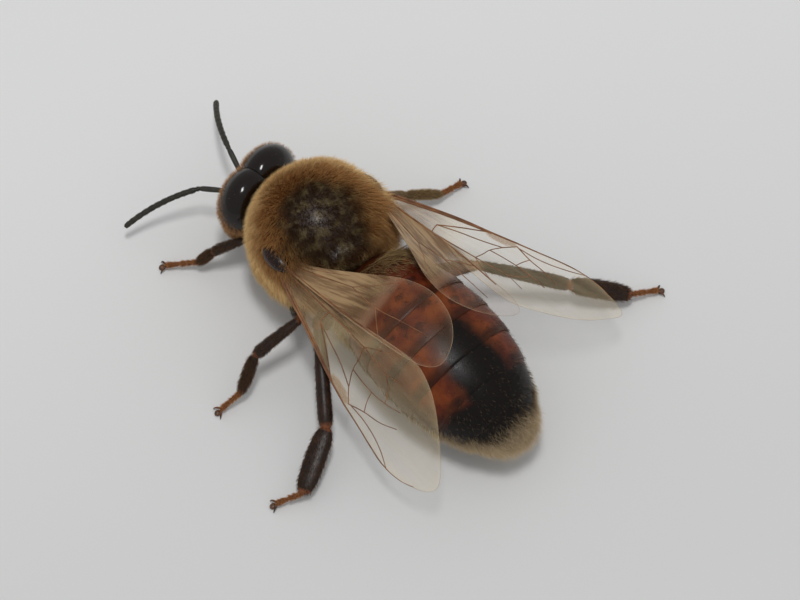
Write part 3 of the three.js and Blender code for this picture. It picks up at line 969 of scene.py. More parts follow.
@dataclass
class Head:
    """Head capsule, compound eyes, ocelli, mouth and the hair round them, sized in the head's own frame."""

    neck: Point = (0.0, -2.42, 3.05)
    turn: float = 12.0
    nod: float = 8.0
    centre: Point = (0.0, -0.95, -0.36)
    half: Point = (1.8, 1.02, 1.5)
    eye_centre: Point = (0.65, -0.92, 0.24)
    eye_half: Point = (1.42, 0.97, 1.4)
    clypeus_centre: Point = (0.0, -1.55, -1.0)
    clypeus_half: Point = (0.92, 0.6, 0.85)
    mandible: tuple = ((0.62, -1.62, -1.62), (0.16, -2.02, -2.02))
    proboscis: tuple = ((0.0, -1.35, -1.72), (0.0, -0.25, -2.06))
    coat: float = 0.17
    eye_seam: float = 0.012
    facet_bulge: float = 0.0022
    skin_grain: float = 0.045
    skin_rounds: int = 5
    face_tufts: int = 16000
    face_hair: Growth = Growth(0.34, 0.011, 58, 40, 28)
    eye_tufts: int = 9500
    eye_down: Growth = Growth(0.13, 0.005, 78, 66, 60)
    crown: Point = (0.0, 0.4, 0.92)
    lens: float = 0.11
    ocelli: tuple = ((0.0, -1.76, 0.44), (0.2, -1.78, 0.62), (-0.2, -1.78, 0.62))
    frame: Matrix = field(init=False)

    def __post_init__(self) -> None:
        """Works out the head's place on its neck."""
        turn = Matrix.Rotation(math.radians(self.turn), 4, "Z")
        self.frame = Matrix.Translation(self.neck) @ turn @ Matrix.Rotation(math.radians(self.nod), 4, "X")

    def inside(self, half: Point, depth: float) -> Point:
        """Half sizes less a depth."""
        return tuple(size - depth for size in half)

    def build(self, draw: Draw) -> None:
        """Builds the whole head."""
        self.build_face(draw)
        for side in Side:
            self.build_eye(side, draw)
        self.build_ocelli()
        self.build_mouth()

    def build_face(self, draw: Draw) -> None:
        """Fuses the capsule, clypeus and frons into one skin, and grows the face's hair on it."""
        ball, flat = Bench.ball, self.inside
        parts = [
            ball("capsule", self.centre, flat(self.half, self.coat)),
            ball("clypeus", self.clypeus_centre, flat(self.clypeus_half, 0.8 * self.coat)),
            ball("frons", (0.0, -1.4, -0.3), (0.55, 0.46, 0.7)),
            ball("labrum", (0.0, -1.72, -1.66), (0.42, 0.2, 0.2)),
            ball("occiput", (0.0, -0.2, 0.0), (1.0, 0.35, 0.8)),
        ]
        for side in Side:
            parts.append(ball("socket", side.mirror((0.34, -1.84, 0.02)), (0.2, 0.12, 0.2), 3))
            parts.append(ball("cheek", side.mirror((1.05, -1.25, -0.95)), (0.62, 0.5, 0.75)))
        face = Bench.fuse("head_skin", parts, self.skin_grain, self.skin_rounds)
        self.grow_face_hair(face, draw)
        Bench.place(face, self.frame)
        hand_over(Bench.settle(face), Wardrobe.FACE_SKIN, "face", ["head"])

    def beyond_eyes(self, points: Rows) -> Rows:
        """How far points lie outside both eyes, from 1 on their surface."""
        levels = []
        for side in Side:
            offset = points - np.array(side.mirror(self.eye_centre))
            levels.append(np.linalg.norm(offset / np.array(self.eye_half), axis=1))
        return np.minimum(*levels)

    def grow_face_hair(self, face: Piece, draw: Draw) -> None:
        """Pale hair that stands off the face, and a longer ruff behind the eyes."""
        points, normals = scatter(face, self.face_tufts, draw)
        free = self.beyond_eyes(points) > 1.0
        points, normals = points[free], normals[free]
        ruff = np.clip((points[:, 1] + 0.75) / 0.4, 0, 1)
        brow = np.clip((points[:, 2] + 0.2) / 0.8, 0, 1)
        outward = unit(points * [1.0, 0.0, 1.0] + [0.0, 0.0, 1e-6])
        spread, smooth = 0.4 + ruff[:, None], 1 - ruff[:, None]
        lie = along_skin(normals, outward * spread + [0.0, 0.35, -0.5] * smooth)
        scale = 0.75 + 0.55 * ruff + 0.25 * brow
        roots = self.in_body(points, normals, lie, scale, unwrap_ball(points, self.centre, self.half))
        Coat("head_coat", self.face_hair, Wardrobe.PALE).grow(roots, draw)

    def in_body(self, points: Rows, normals: Rows, lie: Rows,
                scale: Rows, patch: Rows) -> Roots:
        """Roots given in the head's frame, taken over to the body's."""
        turn = np.array(self.frame.to_3x3())
        place = points @ turn.T + np.array(self.frame.translation)
        return Roots(place, normals @ turn.T, lie @ turn.T, patch, scale, np.zeros(len(points)))

    def build_eye(self, side: Side, draw: Draw) -> None:
        """A faceted eye, cut where it meets its fellow, with down between its facets."""
        centre, word = side.mirror(self.eye_centre), side.word
        bpy.ops.mesh.primitive_ico_sphere_add(subdivisions=6, radius=1.0, location=(0, 0, 0))
        lattice = Bench.points(Bench.fresh("facet_lattice"))
        bpy.data.objects.remove(bpy.context.object)
        tree = search_tree(lattice)
        bpy.ops.mesh.primitive_ico_sphere_add(subdivisions=7, radius=1.0, location=(0, 0, 0))
        eye = Bench.fresh(f"compound_eye_{word}")
        sphere = Bench.points(eye)
        facet = np.array([tree.find(point)[2] < 1e-3 for point in sphere], float)
        half = np.array(self.eye_half)
        points = sphere * half + np.array(centre) + unit(sphere / half) * facet[:, None] * self.facet_bulge
        Bench.reshape(eye, points)
        face = np.linalg.norm((points - self.centre) / np.array(self.half), axis=1)
        Bench.mark(eye, "facet", facet)
        Bench.mark(eye, "rim", np.clip(1.5 - face, 0, 1))
        with Bench.editing(eye):
            seam = (side.value * self.eye_seam, 0.0, 0.0)
            way = (-side.value, 0, 0)
            bpy.ops.mesh.bisect(plane_co=seam, plane_no=way, use_fill=True, clear_outer=True)
        self.grow_eye_down(eye, side, draw)
        Bench.place(eye, self.frame)
        hand_over(Bench.settle(eye), Wardrobe.EYE, "eye", [f"eye_{word}"])

    def grow_eye_down(self, eye: Piece, side: Side, draw: Draw) -> None:
        """Short fine hairs between the facets, longest towards the eye's border."""
        points, normals = scatter(eye, self.eye_tufts, draw)
        level = np.linalg.norm((points - self.centre) / self.inside(self.half, self.coat), axis=1)
        open_side = (level > 1.0) & (points[:, 0] * side.value > 0.05)
        points, normals, level = points[open_side], normals[open_side], level[open_side]
        border = np.clip(1.55 - level, 0, 0.5) * 2
        crown = normals @ np.array(self.frame.to_3x3()).T @ np.array(self.crown)
        skirt = np.clip((0.36 - crown) / 0.26, 0, 1)
        thin = draw.random(len(points)) < 0.02 + 0.5 * border * skirt + 0.8 * skirt
        patch = unwrap_ball(points, side.mirror(self.eye_centre), self.eye_half)
        lie = along_skin(normals, [0.0, 0.4, -1.0])
        scale = 0.6 + 0.5 * border + 0.6 * skirt
        roots = self.in_body(points, normals, lie, scale, patch).only(thin)
        Coat(f"eye_down_{side.word}", self.eye_down, Wardrobe.EYE_DOWN, "eye").grow(roots, draw)

    def build_ocelli(self) -> None:
        """Three simple eyes on the brow, where the compound eyes part."""
        lenses = [Bench.ball("lens", place, (self.lens,) * 3) for place in self.ocelli]
        ocelli = Bench.place(Bench.join("ocelli", lenses), self.frame)
        hand_over(Bench.settle(ocelli), Wardrobe.OCELLUS, "eye")

    def build_mouth(self) -> None:
        """Small mandibles and a short tongue folded back under the head."""
        for side in Side:
            ends = [side.mirror(end) for end in self.mandible]
            self.build_mouthpart(f"mandible_shell_{side.word}", JAW, ends, f"mandible_{side.word}")
        self.build_mouthpart("proboscis_shell", SHEATH, self.proboscis, "proboscis")

    def build_mouthpart(self, name: str, rings: Sequence[Ring], ends: Sequence[Point], node: str) -> None:
        """One turned piece of the mouth.

        Args:
            name: Its name.
            rings: Its shape.
            ends: Its root and tip in the head's frame.
            node: The CAD node that it replaces.
        """
        root, tip = (self.frame @ Vector(end) for end in ends)
        piece = Bench.smooth(Bench.turned(name, rings, (tip - root).length), 2)
        Bench.stand(piece, root, tip, UP)
        hand_over(Bench.settle(piece), Wardrobe.HORN, "horn", [node])


def search_tree(points: Rows) -> KDTree:
    """A search tree over points."""
    tree = KDTree(len(points))
    for index, point in enumerate(points):
        tree.insert(point, index)
    tree.balance()
    return tree


# ---------------------------------------------------------------- feelers


class Route:
    """A smooth way through three points."""

    def __init__(self, start: Point, middle: Point, end: Point) -> None:
        """Works out the way.

        Args:
            start: Where it starts.
            middle: A point that it passes.
            end: Where it ends.
        """
        self.knots = np.array([start, middle, end], float)
        legs = np.linalg.norm(np.diff(self.knots, axis=0), axis=1)
        self.middle = legs[0] / legs.sum()
        table = self.point(np.linspace(0, 1, 200))
        self.length = float(np.linalg.norm(np.diff(table, axis=0), axis=1).sum())

    def point(self, share: Rows) -> Rows:
        """The points at these shares of the way."""
        s, m = np.asarray(share, float)[:, None], self.middle
        first = (s - m) * (s - 1) / m
        second = s * (s - 1) / (m * (m - 1))
        third = s * (s - m) / (1 - m)
        return first * self.knots[0] + second * self.knots[1] + third * self.knots[2]

    def frames(self, share: Rows) -> tuple[Rows, Rows, Rows]:
        """The heading, upright and across at these shares of the way."""
        step = 1e-3
        heading = unit(self.point(share + step) - self.point(share - step))
        upright = along_skin(heading, [0.0, 0.0, 1.0])
        return heading, upright, np.cross(heading, upright)


def bend(piece: Piece, route: Route) -> Piece:
    """Bends a shape that stands on +Z onto a route of the same length."""
    points = Bench.points(piece)
    share = points[:, 2] / route.length
    heading, upright, across = route.frames(share)
    place = route.point(share) + upright * points[:, :1] + across * points[:, 1:2]
    Bench.reshape(piece, place)
    return piece


@dataclass
class Feelers:
    """The two antennae: a scape, a small turning joint and eleven rings."""

    left: tuple = ((0.72, -4.3, 2.4), (1.5, -5.42, 2.15), (2.98, -6.22, 1.66), (4.5, -6.68, 1.0))
    right: tuple = ((0.0, -4.4, 2.4), (-0.41, -5.76, 2.72), (-1.0, -6.95, 2.3), (-2.2, -8.58, 1.2))
    scape_radius: float = 0.115
    ring_radius: float = 0.118
    rings: int = 11
    tufts: int = 2600
    down: Growth = Growth(0.055, 0.004, 40, 25, 15)

    def build(self, draw: Draw) -> None:
        """Builds both."""
        for side, (socket, elbow, arch, tip) in ((Side.LEFT, self.left), (Side.RIGHT, self.right)):
            self.build_scape(side, Vector(socket), Vector(elbow))
            self.build_flagellum(side, Route(elbow, arch, tip), draw)

    def build_scape(self, side: Side, socket: Vector, elbow: Vector) -> None:
        """The first long joint, from the face to the elbow, with its ball in the socket."""
        r = self.scape_radius
        rings = [Ring(-0.1, 0.5 * r), Ring(-0.05, 0.95 * r), Ring(0.0, 0.9 * r), Ring(0.05, 0.6 * r),
                 Ring(0.14, 0.85 * r), Ring(0.5, r), Ring(0.86, 1.05 * r), Ring(0.97, 0.9 * r),
                 Ring(1.0, 0.5 * r)]
        scape = Bench.smooth(Bench.turned(f"scape_{side.word}", rings, (elbow - socket).length), 2)
        Bench.stand(scape, socket, elbow, UP)
        hand_over(Bench.settle(scape), Wardrobe.FEELER, "horn", [f"antenna_scape_{side.word}"])

    def build_flagellum(self, side: Side, route: Route, draw: Draw) -> None:
        """The turning joint and the ringed lash beyond the elbow, with a fine down."""
        r, rings, joint = self.ring_radius, [], 0.05
        rings += [Ring(-0.01, 0.4 * r), Ring(0.0, 0.8 * r), Ring(0.03, 0.85 * r), Ring(joint, 0.6 * r)]
        pitch = (1.0 - joint) / self.rings
        for number in range(self.rings):
            start, last = joint + number * pitch, number == self.rings - 1
            rings.append(Ring(start + 0.1 * pitch, 0.86 * r))
            rings.append(Ring(start + 0.35 * pitch, 0.99 * r))
            rings.append(Ring(start + 0.85 * pitch, (0.8 if last else 1.0) * r))
            rings.append(Ring(start + 0.98 * pitch, (0.4 if last else 0.82) * r))
        lash = Bench.turned(f"flagellum_{side.word}", rings, route.length)
        bend(Bench.smooth(lash, 1), route)
        points, normals = scatter(lash, self.tufts, draw)
        ahead = unit(np.broadcast_to(route.knots[2] - route.knots[0], normals.shape))
        share = (points - route.knots[0]) @ ahead[0] / route.length
        turn = np.arctan2(normals[:, 0], normals[:, 2]) / (2 * math.pi) + 0.5
        patch = np.stack([turn, np.clip(share, 0, 1)], axis=1)
        lie = along_skin(normals, ahead)
        roots = Roots(points, normals, lie, patch, np.ones(len(points)), np.zeros(len(points)))
        Coat(f"feeler_down_{side.word}", self.down, Wardrobe.FEELER_DOWN, "horn").grow(roots, draw)
        hand_over(Bench.settle(lash), Wardrobe.FEELER, "horn", [f"antenna_flagellum_{side.word}"])


# ---------------------------------------------------------------- thorax


@dataclass
class Thorax:
    """The middle body under its plush, and the small shell over each wing root."""

    centre: Point = (0.0, 0.0, 3.8)
    half: Point = (2.94, 2.96, 2.76)
    scutellum_centre: Point = (0.0, 1.9, 4.95)
    scutellum_half: Point = (1.6, 0.98, 0.74)
    tegula_centre: Point = (2.46, 0.4, 4.7)
    tegula_half: Point = (0.42, 0.76, 0.36)
    coat: float = 0.36
    skin_grain: float = 0.07
    skin_rounds: int = 6
    tufts: int = 72000
    plush: Growth = Growth(0.5, 0.0105, 62, 40, 32)
    worn_centre: tuple = (0.13, 0.24)
    worn_radius: float = 0.66
    # The wear reaches further behind its centre: painted shade in the gap between the scutellum and the
    # abdomen.
    worn_trail: float = 0.72
    bald_centre: tuple = (0.2, 0.17)
    bald_radius: float = 0.1

    def build(self, draw: Draw) -> None:
        """Builds the skin, the coat and both shells."""
        skin = self.build_skin()
        self.grow_coat(skin, draw)
        nodes = ["pronotum", "mesothorax", "scutellum", "propodeum"]
        hand_over(Bench.settle(skin), Wardrobe.COAT_SKIN, "coat", nodes)
        for side in Side:
            self.build_tegula(side)

    def build_skin(self) -> Piece:
        """Fuses the dome, the scutellum, the neck, the waist and the flanks into one skin."""
        inset = tuple(size - self.coat for size in self.half)
        scutellum = tuple(size - depth for size, depth in zip(self.scutellum_half, (0.25, 0.3, 0.3)))
        parts = [
            Bench.ball("dome", self.centre, inset, 5),
            Bench.ball("shield", self.scutellum_centre, scutellum),
            Bench.ball("collar", (0.0, -2.05, 3.5), (1.2, 0.85, 1.0)),
            Bench.ball("neck", (0.0, -2.75, 3.15), (0.55, 0.6, 0.5)),
            Bench.ball("waist", (0.0, 2.6, 3.3), (0.7, 0.6, 0.6)),
        ]
        for side in Side:
            parts.append(Bench.ball("flank", side.mirror((1.5, -0.2, 2.6)), (0.95, 1.3, 1.15)))
        return Bench.fuse("thorax_skin", parts, self.skin_grain, self.skin_rounds)

    def grow_coat(self, skin: Piece, draw: Draw) -> None:
        """Plush that stands up all round, thin and dark over the middle of the back and, as painted shade,
        further back towards the waist, with one bald spot.
        """
        points, normals = scatter(skin, self.tufts, draw)
        worn = self.wear(points, self.worn_centre, self.worn_radius)
        Bench.mark(skin, "worn", self.wear(Bench.points(skin), self.worn_centre, self.worn_radius))
        bald = self.wear(points, self.bald_centre, self.bald_radius)
        kept = draw.random(len(points)) > np.maximum(0.6 * worn, 0.92 * bald)
        offset = (points - np.array(self.centre)) / np.array(self.half)
        lie = along_skin(normals, np.array([0.0, 1.0, -0.15]) + 0.5 * offset * [1, 0, 0])
        patch = unwrap_ball(points, self.centre, self.half)
        rear = np.clip((offset[:, 1] - 0.6) * 2.5, 0, 1)
        front = np.clip((-0.45 - offset[:, 1]) * 2.5, 0, 1)
        side = np.clip((offset[:, 1] + 0.1) * 2.0, 0, 1)
        side = side * np.clip(np.abs(offset[:, 0]) * 3 - 0.9, 0, 1)
        scale = 1.0 - 0.5 * worn + 0.3 * rear - 0.4 * front + 1.1 * side
        roots = Roots(points, normals, lie, patch, scale, worn).only(kept)
        quarter = 2 * (roots.place[:, 0] > 0) + (roots.place[:, 1] > 0)
        for index, name in enumerate(("right_front", "right_rear", "left_front", "left_rear")):
            Coat(f"thorax_coat_{name}", self.plush, Wardrobe.PLUSH).grow(roots.only(quarter == index), draw)

    def wear(self, points: Rows, centre: tuple, radius: float) -> Rows:
        """How worn the coat is: 1 about a place on the back, 0 from a good way off. Behind the place the mark
        reaches further, as painted shade over the gap between the scutellum and the abdomen.
        """
        offset = (points - np.array(self.centre)) / np.array(self.half)
        behind = offset[:, 1] - centre[1]
        # Stretched behind the centre: painted shade at the rear of the thorax, darkening and thinning the
        # coat there.
        behind *= np.where(behind > 0, self.worn_trail, 1.0)
        away = np.hypot(offset[:, 0] - centre[0], behind)
        return np.clip(1.5 - away / radius, 0, 1) * (offset[:, 2] > 0)

    def build_tegula(self, side: Side) -> None:
        """A glossy shell, domed and drawn out backwards."""
        shell = Bench.ball(f"tegula_shell_{side.word}", (0, 0, 0), self.tegula_half, 5)
        with Bench.editing(shell):
            Bench.pick(shell, lambda co: co.z < -0.1)
            bpy.ops.transform.resize(value=(1.0, 1.0, 0.4), center_override=(0, 0, -0.1))
            bpy.ops.mesh.select_all(action="SELECT")
            bpy.ops.transform.translate(value=side.mirror(self.tegula_centre))
        hand_over(Bench.settle(shell), Wardrobe.TEGULA, "tegula", [f"tegula_{side.word}"])


# ---------------------------------------------------------------- abdomen


class BodyLine:
    """The abdomen's middle line, a bow through its waist and tip, measured along its length."""

    steps = 600

    def __init__(self, waist: Point, rise: Point, tip: Point) -> None:
        """Tabulates the line.

        Args:
            waist: Where it starts.
            rise: The point that draws it up.
            tip: Where it ends.
        """
        t = np.linspace(0, 1, self.steps)[:, None]
        waist, rise, tip = (np.array(point, float) for point in (waist, rise, tip))
        self.places = (1 - t) ** 2 * waist + 2 * t * (1 - t) * rise + t * t * tip
        self.headings = unit(2 * (1 - t) * (rise - waist) + 2 * t * (tip - rise))
        run = np.r_[0, np.cumsum(np.linalg.norm(np.diff(self.places, axis=0), axis=1))]
        self.length = float(run[-1])
        self.shares = run / run[-1]

    def frames(self, share: Rows) -> tuple[Rows, Rows, Rows, Rows]:
        """Place, heading, across and upright at these shares of the line."""
        inside = np.clip(share, 0, 1)
        table = np.concatenate([self.places, self.headings], axis=1)
        row = np.stack([np.interp(inside, self.shares, column) for column in table.T], axis=1)
        heading = unit(row[:, 3:])
        place = row[:, :3] + heading * ((share - inside) * self.length)[:, None]
        across = along_skin(heading, [1.0, 0.0, 0.0])
        return place, heading, across, np.cross(across, heading)


@dataclass
class Abdomen:
    """Seven overlapping rings, each a back plate over a belly plate, with their hair."""

    waist: Point = (0.0, 2.5, 3.35)
    rise: Point = (-0.05, 6.6, 3.2)
    tip: Point = (-0.05, 11.75, 1.85)
    half_width: float = 2.86
    half_height: float = 2.4
    cuts: tuple = (0.2, 0.34, 0.48, 0.62, 0.75, 0.88)
    coat: float = 0.11
    tuck: float = 0.07
    sides: int = 96
    belly_from: float = 0.66
    ends: tuple = (0.012, 0.9985)
    lip: float = 0.007
    steps: int = 14
    tufts: tuple = (12000, 9000, 9000, 9000, 9000, 13000, 17000)
    coats: tuple = (Wardrobe.STRAW, *3 * (Wardrobe.BROWN,), *3 * (Wardrobe.TAIL,))
    nap: Growth = Growth(0.24, 0.008, 30, 14, 16)
    fringe: Growth = Growth(0.32, 0.0055, 54, 34, 26)
    fringe_from: int = 5
    line: BodyLine = field(init=False)

    def __post_init__(self) -> None:
        """Works out the middle line."""
        self.line = BodyLine(self.waist, self.rise, self.tip)

    def girth(self, share: float) -> float:
        """The breadth as a share of the greatest, from the waist (0) to the tip (1)."""
        swell = math.sin(math.pi * min(max(share, 0.0), 1.0) ** 0.98)
        return swell ** (0.26 if share < 0.5 else 0.44)

    def radius(self, share: float, lift: float = 0.0) -> float:
        """Half the shell's breadth at a share of the length."""
        return max(self.girth(share) * self.half_width - self.coat + lift, 0.03)

    def build(self, draw: Draw) -> None:
        """Builds the rings and then the hair on them."""
        bounds = [self.ends[0], *self.cuts, self.ends[1]]
        for number, (start, end) in enumerate(zip(bounds, bounds[1:]), 1):
            plate = self.build_ring(number, start, end, last=number == len(bounds) - 1)
            self.grow_hair(plate, number, draw)
            hand_over(Bench.settle(plate), Wardrobe.ABDOMEN, "abdomen", [f"abdomen_{number}"])

    def build_ring(self, number: int, start: float, end: float, last: bool) -> Piece:
        """One ring, tucked under the ring before it and standing proud at its hind edge.

        Args:
            number: Its number from the waist.
            start: Where it starts.
            end: Where it ends.
            last: Whether it closes the tip.

        Returns:
            The ring.
        """
        lip, tuck = self.lip, 0.0 if number == 1 else self.tuck
        rings = []
        if tuck:
            rings.append((start - 0.02, -0.2))
            rings.append((start - 0.012, -tuck))
        for step in range(self.steps + 1):
            part = step / self.steps
            if last:
                part = math.sin(part * math.pi / 2)
            share = start + (end - (0 if last else lip) - start) * part
            rings.append((share, -tuck * (1 - part) ** 1.5))
        if not last:
            rings += [(end, 0.0), (end + 0.6 * lip, -0.02), (end + 0.6 * lip, -0.05), (end - 0.01, -0.2)]
        flat = self.half_height / self.half_width
        sizes = [(share, self.radius(share, lift)) for share, lift in rings]
        made = [Ring(share, size, size * flat) for share, size in sizes]
        plate = Bench.turned(f"abdomen_plate_{number}", made, self.line.length, self.sides)
        return self.bend_and_mark(plate, start, end)

    def bend_and_mark(self, plate: Piece, start: float, end: float) -> Piece:
        """Bends a ring onto the middle line, parts its belly plate off and writes its marks."""
        points = Bench.points(plate)
        share = points[:, 2] / self.line.length
        angle = np.abs(np.arctan2(points[:, 1], points[:, 0])) / math.pi
        drop = np.clip((angle - self.belly_from) / 0.012, 0, 1)
        radius = np.maximum(np.hypot(points[:, 0], points[:, 1]), 1e-6)
        sink = np.where(radius > 0.5, 1 - drop * 0.06 / radius, 1.0)
        place, _, across, upright = self.line.frames(share)
        sunk = points[:, :2] * sink[:, None]
        Bench.reshape(plate, place + upright * sunk[:, :1] + across * sunk[:, 1:])
        Bench.mark(plate, "share", share)
        Bench.mark(plate, "flank", angle)
        Bench.mark(plate, "ring", np.clip((share - start) / (end - start), 0, 1))
        return plate

    def marks(self, points: Rows) -> tuple[Rows, Rows]:
        """The share of the length and the signed turn from the back's middle (0) to the belly's (1 or -1)."""
        rough = np.clip((points[:, 1] - self.waist[1]) / (self.tip[1] - self.waist[1]), 0, 1)
        for _ in range(3):
            place, heading, _, _ = self.line.frames(rough)
            rough = rough + np.sum((points - place) * heading, axis=1) / self.line.length
        place, _, across, upright = self.line.frames(rough)
        offset = points - place
        turn = np.arctan2(np.sum(offset * across, axis=1), np.sum(offset * upright, axis=1)) / math.pi
        return rough, turn

    def grow_hair(self, plate: Piece, number: int, draw: Draw) -> None:
        """Hair on one ring: plush in front, sparse and flat on the back, a fringe at the tail and sides."""
        points, normals = scatter(plate, self.tufts[number - 1], draw)
        share, turn = self.marks(points)
        _, heading, _, _ = self.line.frames(share)
        outward = np.sum(normals * heading, axis=1) > -0.6
        flank = np.abs(turn)
        tail = np.clip((share - 0.905) / 0.07, 0, 1)
        fore = np.clip((0.2 - share) / 0.12, 0, 1)
        edge = np.clip((flank - 0.5 + 0.2 * np.clip(share * 3 - 2, 0, 1)) / 0.15, 0, 1)
        thick = np.clip(0.16 + 0.7 * tail + 0.8 * fore + 0.7 * edge, 0, 1)
        kept = outward & (draw.random(len(points)) < thick)
        patch = np.stack([turn / 2 + 0.5, np.clip(share, 0, 1)], axis=1)
        lie = along_skin(normals, heading + 0.25 * draw.normal(size=heading.shape))
        scale = 0.5 + 0.9 * tail + 2.5 * fore + 0.8 * edge
        dark = np.clip(1 - tail - edge + 0.9 * (draw.random(len(points)) - 0.55), 0, 1)
        roots = Roots(points, normals, lie, patch, scale, dark).only(kept)
        growth = self.nap if number < self.fringe_from else self.fringe
        Coat(f"abdomen_coat_{number}", growth, self.coats[number - 1]).grow(roots, draw)


# ---------------------------------------------------------------- wings


@dataclass(frozen=True)
class Vein:
    """One vein: its radius at both ends and the points that it runs through, along and across the wing."""

    start: float
    end: float
    way: tuple


FORE_VEINS = (
    Vein(0.06, 0.032, ((0.0, -0.12), (1.3, -0.4), (2.6, -0.58), (3.9, -0.79), (5.1, -0.93), (6.3, -1.04))),
    Vein(0.05, 0.04, ((0.1, -0.02), (1.2, -0.24), (2.9, -0.52), (4.2, -0.73), (5.15, -0.9))),
    Vein(0.03, 0.012, ((6.2, -1.03), (7.2, -1.06), (8.2, -1.1), (9.2, -1.06), (10.1, -0.76), (10.6, -0.42))),
    Vein(0.05, 0.03, ((0.1, 0.08), (1.47, 0.42), (2.99, 0.78))),
    Vein(0.028, 0.022, ((2.99, 0.78), (4.16, 1.03), (4.99, 1.18))),
    Vein(0.026, 0.022, ((2.99, 0.78), (3.0, 0.5), (3.04, 0.18))),
    Vein(0.024, 0.024, ((3.04, 0.18), (3.93, -0.27), (5.07, -0.9))),
    Vein(0.022, 0.02, ((3.04, 0.18), (4.0, 0.02), (4.86, -0.11), (5.81, -0.37))),
    Vein(0.02, 0.02, ((5.81, -0.37), (6.05, -0.6), (6.32, -0.84))),
    Vein(0.02, 0.02, ((4.99, 1.18), (5.2, 0.75), (5.39, 0.22), (5.81, -0.37))),
    Vein(0.02, 0.016, ((5.39, 0.22), (6.2, 0.3), (7.1, 0.52), (8.0, 0.95))),
    Vein(0.022, 0.016, ((6.32, -0.84), (7.0, -0.42), (7.76, -0.07), (8.4, 0.4))),
    Vein(0.02, 0.016, ((6.4, -0.78), (7.4, -0.66), (8.5, -0.78), (9.35, -1.06))),
    Vein(0.018, 0.018, ((7.0, -0.42), (6.75, 0.0), (6.6, 0.36))),
    Vein(0.018, 0.016, ((7.3, 0.58), (7.0, 1.0), (6.4, 1.35))),
    Vein(0.02, 0.012, ((4.99, 1.18), (5.7, 1.28), (6.4, 1.35), (7.2, 1.75))),
    Vein(0.018, 0.012, ((4.99, 1.18), (5.4, 1.6), (5.9, 2.05))),
    Vein(0.034, 0.018, ((0.1, 0.18), (1.3, 0.5), (2.4, 0.82), (3.3, 1.08))),
    Vein(0.02, 0.02, ((2.5, 0.66), (2.55, 0.78), (2.6, 0.86))),
)
HIND_VEINS = (
    Vein(0.045, 0.02, ((0.0, -0.1), (2.4, -0.24), (4.5, -0.28), (6.3, -0.24))),
    Vein(0.035, 0.02, ((0.1, 0.05), (1.6, 0.4), (2.9, 0.75))),
    Vein(0.02, 0.014, ((2.9, 0.75), (4.2, 0.62), (5.5, 0.78), (6.7, 0.9))),
    Vein(0.018, 0.018, ((4.2, 0.62), (4.7, 0.1), (5.1, -0.27))),
    Vein(0.018, 0.014, ((2.9, 0.75), (3.6, 1.3), (4.3, 1.9))),
    Vein(0.024, 0.014, ((0.1, 0.14), (1.2, 0.46), (2.5, 1.05))),
)


